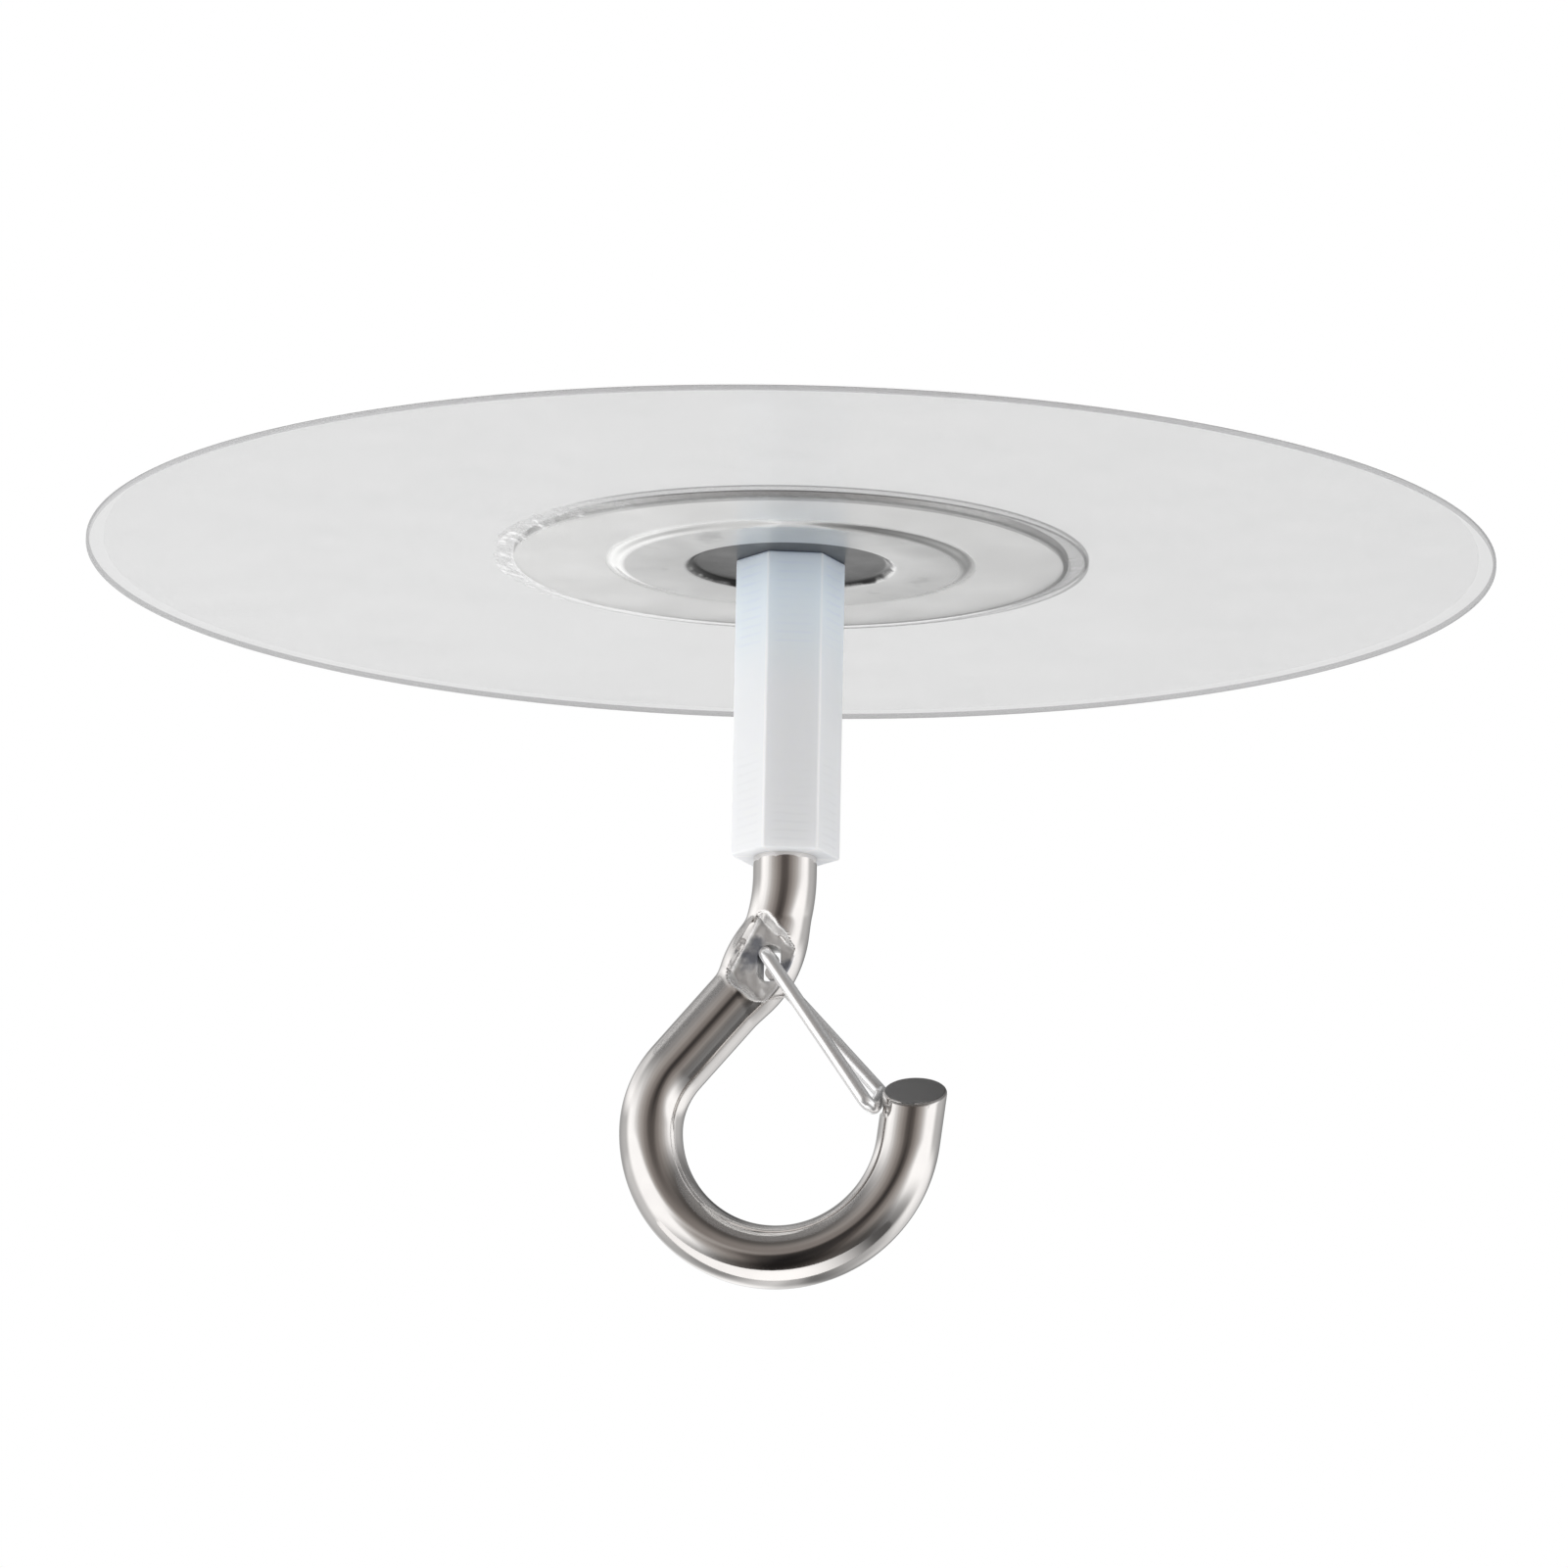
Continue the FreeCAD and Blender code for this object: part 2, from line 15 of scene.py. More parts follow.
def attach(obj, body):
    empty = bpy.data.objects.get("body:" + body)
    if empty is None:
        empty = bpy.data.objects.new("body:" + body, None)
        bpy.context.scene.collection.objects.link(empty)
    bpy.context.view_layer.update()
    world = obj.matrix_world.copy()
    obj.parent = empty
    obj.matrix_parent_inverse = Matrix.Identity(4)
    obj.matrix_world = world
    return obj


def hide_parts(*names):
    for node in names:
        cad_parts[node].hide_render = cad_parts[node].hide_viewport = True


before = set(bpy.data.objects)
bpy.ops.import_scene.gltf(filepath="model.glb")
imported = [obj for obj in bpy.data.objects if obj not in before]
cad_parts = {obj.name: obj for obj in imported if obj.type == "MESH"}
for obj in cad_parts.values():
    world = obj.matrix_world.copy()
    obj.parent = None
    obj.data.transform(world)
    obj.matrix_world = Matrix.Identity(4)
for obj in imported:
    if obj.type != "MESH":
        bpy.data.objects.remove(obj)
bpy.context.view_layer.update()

LOG = logging.getLogger("ceiling_hook")

MM = 0.001
MERGE_DISTANCE = 0.0001 * MM
UP = Vector((0.0, 0.0, 1.0))
ACROSS_HOOK = Vector((0.0, 1.0, 0.0))

Colour = tuple[float, float, float]
Fade = tuple[float, float, float, float]


class Body(Enum):
    """The two bodies that pieces ride on."""

    HANGER = "hanger"
    GATE = "gate"


class Slot(Enum):
    """Names of finishes, which no piece uses."""

    FILM = "clear_film"
    PLATE = "plate_steel"
    STUD = "stud_steel"
    NYLON = "nylon"
    HOOK = "hook_steel"
    WIRE = "wire_steel"


class PressMark(Enum):
    """How hard the press marked a point of the hook."""

    SHOULDER = 0.5
    FLAT = 0.75
    BRUISE = 1.0


# Modelling by hand: selection, edit mode and the few operations that pieces share


def clear_selection() -> None:
    """Leave edit mode and select nothing."""
    if bpy.context.object and bpy.context.object.mode != "OBJECT":
        bpy.ops.object.mode_set(mode="OBJECT")
    bpy.ops.object.select_all(action="DESELECT")


def take(piece: bpy.types.Object) -> None:
    """Make one object the only selected and active one."""
    clear_selection()
    piece.select_set(True)
    bpy.context.view_layer.objects.active = piece


@contextmanager
def editing(piece: bpy.types.Object) -> Iterator[None]:
    """Work on a piece in edit mode with everything selected, and leave it afterwards.

    Args:
        piece: The object to edit.
    """
    take(piece)
    bpy.ops.object.mode_set(mode="EDIT")
    bpy.ops.mesh.select_mode(type="VERT")
    bpy.ops.mesh.select_all(action="SELECT")
    yield
    bpy.ops.object.mode_set(mode="OBJECT")


def pick_points(piece: bpy.types.Object, wanted: Callable[[Vector], bool]) -> None:
    """Select the points of a piece in edit mode by their place.

    Args:
        piece: The object in edit mode.
        wanted: Says of a point's place whether it is selected.
    """
    mesh = bmesh.from_edit_mesh(piece.data)
    for vertex in mesh.verts:
        vertex.select = wanted(vertex.co)
    mesh.select_flush_mode()
    bmesh.update_edit_mesh(piece.data)


def settle_new_piece(name: str) -> bpy.types.Object:
    """Name the primitive that was just added and put its place into its mesh.

    Args:
        name: The piece's name.

    Returns:
        The object, at the origin.
    """
    piece = bpy.context.object
    piece.name = name
    piece.data.name = name
    bpy.ops.object.transform_apply(location=True, rotation=True, scale=True)
    return piece


def tidy_mesh(piece: bpy.types.Object, smooth_angle: float = 35.0) -> None:
    """Merge doubles, point the faces outwards and smooth all but the sharp edges.

    Args:
        piece: The finished piece.
        smooth_angle: Edges under this angle, in degrees, are shaded smooth.
    """
    with editing(piece):
        bpy.ops.mesh.remove_doubles(threshold=MERGE_DISTANCE)
        bpy.ops.mesh.select_all(action="SELECT")
        bpy.ops.mesh.normals_make_consistent(inside=False)
    take(piece)
    bpy.ops.object.shade_smooth_by_angle(angle=math.radians(smooth_angle))


def cut_away(piece: bpy.types.Object, cutter: bpy.types.Object) -> None:
    """Cut one object out of another and delete the cutter.

    Args:
        piece: The object that loses material.
        cutter: The object that takes it away.
    """
    take(piece)
    modifier = piece.modifiers.new("cut", "BOOLEAN")
    modifier.operation = "DIFFERENCE"
    modifier.solver = "MANIFOLD"
    modifier.object = cutter
    bpy.ops.object.modifier_apply(modifier=modifier.name)
    bpy.data.objects.remove(cutter, do_unlink=True)


def join_pieces(main: bpy.types.Object, others: Sequence[bpy.types.Object]) -> None:
    """Join objects into the first one's mesh."""
    take(main)
    for other in others:
        other.select_set(True)
    bpy.ops.object.join()


@dataclass(frozen=True)
class Corner:
    """One corner of a turned outline.

    Args:
        radius: Distance from the upright axis.
        level: Height.
        rounding: How far back from the corner its rounding starts, or 0 for a sharp one.
    """

    radius: float
    level: float
    rounding: float = 0.0

    def place(self) -> Vector:
        """Give the corner's place in the plane that is turned."""
        return Vector((self.radius, 0.0, self.level))


def turn_outline(name: str, corners: Sequence[Corner], steps: int, arc_steps: int = 4) -> bpy.types.Object:
    """Draw a closed outline point by point, round its corners and spin it about the upright axis.

    Args:
        name: The piece's name.
        corners: The outline, all the way round.
        steps: How many faces there are round the axis.
        arc_steps: How many faces there are along a rounded corner.

    Returns:
        The turned piece.
    """
    clear_selection()
    bpy.ops.mesh.primitive_plane_add(size=MM)
    piece = settle_new_piece(name)
    with editing(piece):
        bpy.ops.mesh.merge(type="CENTER")
        bpy.ops.transform.translate(value=corners[0].place())
        for before, after in zip(corners, corners[1:]):
            move = {"value": after.place() - before.place()}
            bpy.ops.mesh.extrude_vertices_move(TRANSFORM_OT_translate=move)
        bpy.ops.mesh.select_all(action="SELECT")
        bpy.ops.mesh.edge_face_add()
        for corner in corners:
            if corner.rounding:
                place = corner.place()
                pick_points(piece, lambda spot: (spot - place).length < MERGE_DISTANCE)
                bpy.ops.mesh.bevel(offset=corner.rounding, segments=arc_steps, affect="VERTICES")
        bpy.ops.mesh.select_all(action="SELECT")
        bpy.ops.mesh.delete(type="ONLY_FACE")
        bpy.ops.mesh.select_all(action="SELECT")
        bpy.ops.mesh.spin(steps=steps, angle=math.tau, center=(0.0, 0.0, 0.0), axis=UP)
    tidy_mesh(piece)
    return piece


class BentBar:
    """A round bar that grows from one ring, run by run and bend by bend."""

    def __init__(self, name: str, radius: float, sides: int, start: Vector, along: Vector) -> None:
        """Draw the first ring.

        Args:
            name: The piece's name.
            radius: Half the bar's thickness.
            sides: How many faces there are round the bar.
            start: Where the bar starts.
            along: The direction in which it starts.
        """
        clear_selection()
        turn = UP.rotation_difference(along).to_euler()
        bpy.ops.mesh.primitive_circle_add(vertices=sides, radius=radius, location=start, rotation=turn)
        self.piece = settle_new_piece(name)
        self.end = start.copy()
        bpy.ops.object.mode_set(mode="EDIT")
        bpy.ops.mesh.select_mode(type="EDGE")
        bpy.ops.mesh.select_all(action="SELECT")

    def run(self, target: Vector, steps: int) -> None:
        """Draw the bar straight on to a point in equal steps."""
        step = (target - self.end) / steps
        for _ in range(steps):
            bpy.ops.mesh.extrude_edges_move(TRANSFORM_OT_translate={"value": step})
        self.end = target.copy()

    def bend(self, centre: Vector, axis: Vector, angle: float, steps: int) -> None:
        """Bend the bar round a centre.

        Args:
            centre: The middle of the bend.
            axis: The line that it turns about.
            angle: How far it turns, in radians.
            steps: How many faces there are along the bend.
        """
        bpy.ops.mesh.spin(steps=steps, angle=-angle, center=centre, axis=axis)
        self.end = Matrix.Rotation(angle, 4, axis) @ (self.end - centre) + centre

    def close(self) -> bpy.types.Object:
        """Close both ends and leave edit mode.

        Returns:
            The bar.
        """
        bpy.ops.mesh.select_all(action="SELECT")
        bpy.ops.mesh.fill_holes(sides=0)
        bpy.ops.mesh.select_all(action="SELECT")
        bpy.ops.mesh.normals_make_consistent(inside=False)
        bpy.ops.object.mode_set(mode="OBJECT")
        return self.piece


def soft_min(first: float, second: float, blend: float) -> float:
    """Give the smaller of two sizes, rounded off where they are nearly the same."""
    gap = max(blend - abs(first - second), 0.0) / blend
    return min(first, second) - gap * gap * blend / 4.0


def soft_max(first: float, second: float, blend: float) -> float:
    """Give the larger of two sizes, rounded off where they are nearly the same."""
    return -soft_min(-first, -second, blend)


# Finishes


class Desk:
    """A node tree with short calls to place nodes and join them."""

    def __init__(self, tree: bpy.types.NodeTree) -> None:
        """Take over a tree and empty it."""
        self.tree = tree
        tree.nodes.clear()

    def add(
        self, kind: str, inputs: dict[int | str, object] | None = None, **settings: object
    ) -> bpy.types.Node:
        """Place a node.

        Args:
            kind: The node's type name without its leading word ShaderNode.
            inputs: For each input, the socket that feeds it or the value that it is set to.
            settings: The node's own settings.

        Returns:
            The node.
        """
        node = self.tree.nodes.new(kind if kind.startswith("NodeGroup") else "ShaderNode" + kind)
        for name, value in settings.items():
            setattr(node, name, value)
        for socket, value in (inputs or {}).items():
            if isinstance(value, bpy.types.NodeSocket):
                self.tree.links.new(value, node.inputs[socket])
            else:
                node.inputs[socket].default_value = value
        return node

    def math(self, operation: str, *values: object) -> bpy.types.NodeSocket:
        """Work out a number and give its socket."""
        return self.add("Math", dict(enumerate(values)), operation=operation).outputs[0]

    def product(self, first: object, *others: object) -> bpy.types.NodeSocket:
        """Multiply numbers and give the result's socket."""
        for other in others:
            first = self.math("MULTIPLY", first, other)
        return first

    def rest(self, share: object) -> bpy.types.NodeSocket:
        """Give the socket of what a share leaves of 1."""
        return self.math("SUBTRACT", 1.0, share)

    def ramp(self, value: object, low: float, high: float, start: float, end: float) -> bpy.types.NodeSocket:
        """Map a number smoothly from one range to another and give its socket."""
        inputs = {"Value": value, 1: low, 2: high, 3: start, 4: end}
        return self.add("MapRange", inputs, interpolation_type="SMOOTHSTEP").outputs[0]

    def mix(self, share: object, first: object, second: object) -> bpy.types.NodeSocket:
        """Mix two colours and give the result's socket."""
        node = self.add("Mix", data_type="RGBA")
        colours = [socket for socket in node.inputs if socket.type == "RGBA"]
        for socket, value in zip([node.inputs[0], *colours], (share, first, second)):
            if isinstance(value, bpy.types.NodeSocket):
                self.tree.links.new(value, socket)
            else:
                socket.default_value = (*value, 1.0) if isinstance(value, tuple) else value
        return [socket for socket in node.outputs if socket.type == "RGBA"][0]

    def place(self) -> bpy.types.NodeSocket:
        """Give the socket with the piece's own coordinates."""
        return self.add("TexCoord").outputs["Object"]

    def group(self, tree: bpy.types.NodeTree, **inputs: object) -> bpy.types.NodeSocket:
        """Place a shared effect and give its result's socket.

        Args:
            tree: The effect.
            inputs: The value of each of its named inputs.

        Returns:
            The effect's one output.
        """
        return self.add("Group", inputs, node_tree=tree).outputs[0]


def new_effect(name: str, inputs: dict[str, float], output: str) -> tuple[bpy.types.NodeTree, Desk, dict]:
    """Start a shared effect.

    Args:
        name: The effect's name.
        inputs: Its named numbers and their usual values.
        output: The name of what it gives.

    Returns:
        The effect's tree, its desk and its input sockets by name.
    """
    tree = bpy.data.node_groups.new(name, "ShaderNodeTree")
    for socket, value in inputs.items():
        made = tree.interface.new_socket(name=socket, in_out="INPUT", socket_type="NodeSocketFloat")
        made.default_value = value
    tree.interface.new_socket(name=output, in_out="OUTPUT", socket_type="NodeSocketFloat")
    desk = Desk(tree)
    entry = desk.add("NodeGroupInput")
    return tree, desk, {socket: entry.outputs[socket] for socket in inputs}


class Effects:
    """Effects that several finishes share, each built once."""

    def __init__(self) -> None:
        """Build every effect."""
        self.mottle = self.build_mottle()
        self.ring = self.build_ring()

    def build_mottle(self) -> bpy.types.NodeTree:
        """Build uneven patches that run between two values.

        Returns:
            The effect, with inputs Scale, Detail, Low and High.
        """
        usual = {"Scale": 300.0, "Detail": 4.0, "Low": 0.0, "High": 1.0}
        tree, desk, given = new_effect("mottle", usual, "Value")
        source = {"Vector": desk.place(), "Scale": given["Scale"], "Detail": given["Detail"]}
        cloud = desk.add("TexNoise", source)
        value = desk.add(
            "MapRange",
            {"Value": cloud.outputs["Fac"], 1: 0.3, 2: 0.7, 3: given["Low"], 4: given["High"]},
        )
        desk.add("NodeGroupOutput", {"Value": value.outputs[0]})
        return tree

    def build_ring(self) -> bpy.types.NodeTree:
        """Build a mask that is 1 between two radii about the upright axis.

        Returns:
            The effect, with inputs Inner, Outer and Blur.
        """
        tree, desk, given = new_effect("ring", {"Inner": 0.0, "Outer": MM, "Blur": 0.1 * MM}, "Mask")
        flat = desk.add("VectorMath", {0: desk.place(), 1: (1.0, 1.0, 0.0)}, operation="MULTIPLY")
        radius = desk.add("VectorMath", {0: flat.outputs[0]}, operation="LENGTH").outputs["Value"]
        inside = desk.math("SUBTRACT", given["Inner"], given["Blur"])
        outside = desk.math("ADD", given["Outer"], given["Blur"])
        rise = desk.ramp(radius, inside, given["Inner"], 0.0, 1.0)
        fall = desk.ramp(radius, given["Outer"], outside, 1.0, 0.0)
        desk.add("NodeGroupOutput", {"Mask": desk.product(rise, fall)})
        return tree


def new_finish(name: str, **constants: object) -> tuple[bpy.types.Material, Desk, bpy.types.Node]:
    """Start a material.

    Args:
        name: The material's name.
        constants: Values set on the shader's own sockets, with _ for a space in their names.

    Returns:
        The material, its desk and its shader.
    """
    material = bpy.data.materials.new(name)
    material.use_nodes = True
    desk = Desk(material.node_tree)
    shader = desk.add("BsdfPrincipled")
    for socket, value in constants.items():
        shader.inputs[socket.replace("_", " ")].default_value = value
    desk.add("OutputMaterial", {"Surface": shader.outputs[0]})
    return material, desk, shader


def feed(desk: Desk, shader: bpy.types.Node, **sockets: bpy.types.NodeSocket) -> None:
    """Join results to the shader's sockets, with _ for a space in their names."""
    for name, source in sockets.items():
        desk.tree.links.new(source, shader.inputs[name.replace("_", " ")])


def bump(desk: Desk, height: bpy.types.NodeSocket, distance: float) -> bpy.types.NodeSocket:
    """Turn a height into a normal.

    Args:
        desk: The material's desk.
        height: The height's socket.
        distance: How deep the bumps are, in metres.

    Returns:
        The normal's socket.
    """
    inputs = {"Height": height, "Distance": distance, "Strength": 1.0}
    return desk.add("Bump", inputs).outputs[0]


def dress(piece: bpy.types.Object, material: bpy.types.Material) -> None:
    """Give a piece one material."""
    piece.data.materials.clear()
    piece.data.materials.append(material)


def hand_over(piece: bpy.types.Object, body: Body, node: str) -> None:
    """Let a piece ride on its body in the place of a CAD node.

    Args:
        piece: The finished piece.
        body: The body that carries it.
        node: The CAD node that it stands for.
    """
    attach(piece, body.value)
    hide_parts(node)
    LOG.info("%s: %d faces, rides on %s", piece.name, len(piece.data.polygons), body.value)


@dataclass(frozen=True)
class FilmFinish:
    """Clear glossy film, greyer and more opaque where it is stretched over the step, painted near white over
    the plate as a painted sheen, with painted white glints of bubbles on its left side, painted dark shade
    lines at the plate's rim and the step's foot that fade out on the left, and painted grey shade along its
    cut edge.
    """

    tint: Colour = (0.25, 0.252, 0.255)
    # Painted sheen: the film over the plate is painted near white, which lightens the flange.
    bonded: Colour = (0.95, 0.95, 0.95)
    crease: Colour = (0.34, 0.34, 0.34)
    # Painted shade: a near-black line is painted at the foot of the step, where the film meets the disc.
    foot_shade: Colour = (0.05, 0.05, 0.05)
    # Painted highlight: white glints of bubbles, painted only on the film's left side.
    bubble_glint: Colour = (1.0, 1.0, 1.0)
    # Painted shade: the band along the film's cut edge is painted grey.
    cut_edge_shade: Colour = (0.32, 0.32, 0.33)
    clear_alpha: float = 0.2
    bonded_alpha: float = 0.2
    # Painted shade: a dark ring is painted in the film along the plate's rim.
    rim: Colour = (0.1, 0.1, 0.1)
    rim_shade_alpha: float = 0.5
    crease_alpha: float = 0.42
    foot_shade_alpha: float = 0.6
    bubble_glint_alpha: float = 0.75
    cut_edge_shade_alpha: float = 0.6
    lit_side_from: float = -4.0 * MM
    lit_side_to: float = -13.0 * MM
    lit_side_fading: float = 0.7
    wrinkle_depth: float = 0.12 * MM

    def build(self, effects: Effects, disc: "StickOnDisc") -> bpy.types.Material:
        """Build the material for a disc's own sizes.

        Args:
            effects: The shared effects.
            disc: The disc whose rings the masks follow.

        Returns:
            The material.
        """
        material, desk, shader = new_finish("clear_film", IOR=1.49, Specular_IOR_Level=0.5)
        bonded, crease, foot_shade, edge, rim = (
            desk.group(effects.ring, Inner=inner, Outer=outer, Blur=blur)
            for inner, outer, blur in (
                (0.0, disc.step_inner, 0.05 * MM),
                (disc.step_inner, disc.step_outer, 0.12 * MM),
                (disc.step_outer, disc.step_outer + disc.foot_line, 0.06 * MM),
                (disc.radius - disc.edge_line, disc.radius + MM, 0.04 * MM),
                (disc.step_inner - disc.rim_shade_width, disc.step_inner, 0.08 * MM),
            )
        )
        across = desk.add("SeparateXYZ", {0: desk.place()}).outputs["X"]
        # Painted light by side: towards the left the film gets painted white glints of bubbles and a clearer
        # step, and the painted dark lines at the plate's rim and the step's foot fade out.
        lit_side = desk.ramp(across, self.lit_side_to, self.lit_side_from, 1.0, 0.0)
        bubble_glints = desk.group(effects.mottle, Scale=1100.0, Detail=3.0, Low=-0.6, High=1.2)
        bubble_glints = desk.product(desk.math("MAXIMUM", bubble_glints, 0.0), lit_side)
        bubble_glint = desk.math("MINIMUM", desk.product(bubble_glints, desk.math("MAXIMUM", crease, foot_shade)), 1.0)
        foot_shade = desk.product(foot_shade, desk.rest(lit_side))
        crease = desk.product(crease, desk.math("MULTIPLY_ADD", lit_side, -self.lit_side_fading, 1.0))
        rim = desk.product(rim, desk.rest(lit_side))
        haze = desk.group(effects.mottle, Scale=90.0, Low=0.98, High=1.02)
        tint = self.tint
        alpha = desk.product(haze, self.clear_alpha)
        for mask, colour, value in (
            (bonded, self.bonded, self.bonded_alpha),
            (crease, self.crease, self.crease_alpha),
            (rim, self.rim, self.rim_shade_alpha),
            (foot_shade, self.foot_shade, self.foot_shade_alpha),
            (bubble_glint, self.bubble_glint, self.bubble_glint_alpha),
            (edge, self.cut_edge_shade, self.cut_edge_shade_alpha),
        ):
            tint = desk.mix(mask, tint, colour)
            missing = desk.math("SUBTRACT", value, alpha)
            alpha = desk.math("ADD", alpha, desk.product(mask, missing))
        wrinkles = desk.group(effects.mottle, Scale=1500.0, Low=0.0, High=1.0)
        height = desk.product(wrinkles, crease)
        feed(
            desk,
            shader,
            Base_Color=tint,
            Alpha=alpha,
            Roughness=desk.group(effects.mottle, Scale=240.0, Low=0.10, High=0.2),
            Normal=bump(desk, height, self.wrinkle_depth),
        )
        return material


@dataclass(frozen=True)
class AdhesiveFinish:
    """Clear soft adhesive with faint cloudy patches."""

    clear: Colour = (0.62, 0.63, 0.64)
    cloudy: Colour = (0.86, 0.87, 0.88)
    low_alpha: float = 0.025
    high_alpha: float = 0.06
    ripple_depth: float = 0.006 * MM

    def build(self, effects: Effects) -> bpy.types.Material:
        """Build the material.

        Args:
            effects: The shared effects.

        Returns:
            The material.
        """
        material, desk, shader = new_finish("clear_adhesive", IOR=1.47)
        patches = desk.group(effects.mottle, Scale=160.0, Low=0.0, High=1.0)
        ripple = desk.group(effects.mottle, Scale=420.0, Low=0.0, High=1.0)
        feed(
            desk,
            shader,
            Base_Color=desk.mix(patches, self.clear, self.cloudy),
            Alpha=desk.group(effects.mottle, Scale=160.0, Low=self.low_alpha, High=self.high_alpha),
            Roughness=desk.group(effects.mottle, Scale=300.0, Low=0.25, High=0.5),
            Normal=bump(desk, ripple, self.ripple_depth),
        )
        return material


@dataclass(frozen=True)
class PlateFinish:
    """Pressed stainless sheet with faint turned lines, painted darker in patches inside the raised ring as a
    painted reflection, and painted shade in the dish round the stud.
    """

    bright: Colour = (0.93, 0.93, 0.92)
    dull: Colour = (0.76, 0.76, 0.75)
    ring_dark: Colour = (0.42, 0.42, 0.42)
    dish_shade_colour: Colour = (0.06, 0.06, 0.06)
    least_ring_dark: float = 0.45
    dish_shade_inside: float = 0.25 * MM
    dish_shade_outside: float = 0.05 * MM
    inside_step_in: float = 0.1 * MM
    inside_step_out: float = 0.2 * MM
    line_pitch: float = 0.16 * MM
    line_depth: float = 0.0035 * MM
    burnish: float = 0.17

    def build(self, effects: Effects, plate: "PressedPlate") -> bpy.types.Material:
        """Build the material for a plate's own sizes.

        Args:
            effects: The shared effects.
            plate: The plate whose dish is darkened.

        Returns:
            The material.
        """
        material, desk, shader = new_finish("pressed_steel", Metallic=1.0)
        smudge = desk.group(effects.mottle, Scale=200.0, Detail=2.0)
        ragged = desk.group(effects.mottle, Scale=480.0, Detail=7.0, Low=-0.3, High=0.25)
        flat = desk.add("VectorMath", {0: desk.place(), 1: (1.0, 1.0, 0.0)}, operation="MULTIPLY")
        radius = desk.add("VectorMath", {0: flat.outputs[0]}, operation="LENGTH").outputs["Value"]
        uneven = desk.math("ADD", radius, desk.product(ragged, MM))
        dish, boss = plate.dish_outer, plate.boss_inner
        # Painted shade: the dish round the stud is painted near black, out to a ragged edge.
        dish_shade = desk.ramp(uneven, dish - self.dish_shade_inside, dish + self.dish_shade_outside, 1.0, 0.0)
        # Painted reflection: the raised ring is painted darker, in patches.
        inside_step = desk.ramp(radius, boss - self.inside_step_in, boss + self.inside_step_out, 1.0, 0.0)
        ring_patches = desk.group(effects.mottle, Scale=330.0, Detail=3.0, Low=-0.5, High=0.8)
        steel = desk.mix(smudge, self.dull, self.bright)
        ring_darkening = desk.product(inside_step, desk.math("MAXIMUM", ring_patches, self.least_ring_dark))
        steel = desk.mix(ring_darkening, steel, self.ring_dark)
        turns = desk.math("DIVIDE", radius, self.line_pitch)
        lines = desk.add("TexNoise", {"W": turns, "Scale": 1.0, "Detail": 2.0}, noise_dimensions="1D")
        waves = desk.group(effects.mottle, Scale=190.0, Detail=1.0, Low=0.0, High=14.0)
        height = desk.math("ADD", lines.outputs["Fac"], waves)
        roughness = desk.group(effects.mottle, Scale=520.0, Low=0.28, High=0.36)
        step = desk.group(effects.ring, Inner=plate.boss_inner, Outer=plate.boss_outer, Blur=0.2 * MM)
        brink = desk.group(effects.ring, Inner=plate.dish_inner_low, Outer=plate.dish_outer, Blur=0.1 * MM)
        burnished = desk.product(desk.math("MAXIMUM", step, brink), self.burnish)
        feed(
            desk,
            shader,
            Base_Color=desk.mix(dish_shade, steel, self.dish_shade_colour),
            Roughness=desk.math("SUBTRACT", roughness, burnished),
            Normal=bump(desk, height, self.line_depth),
        )
        return material


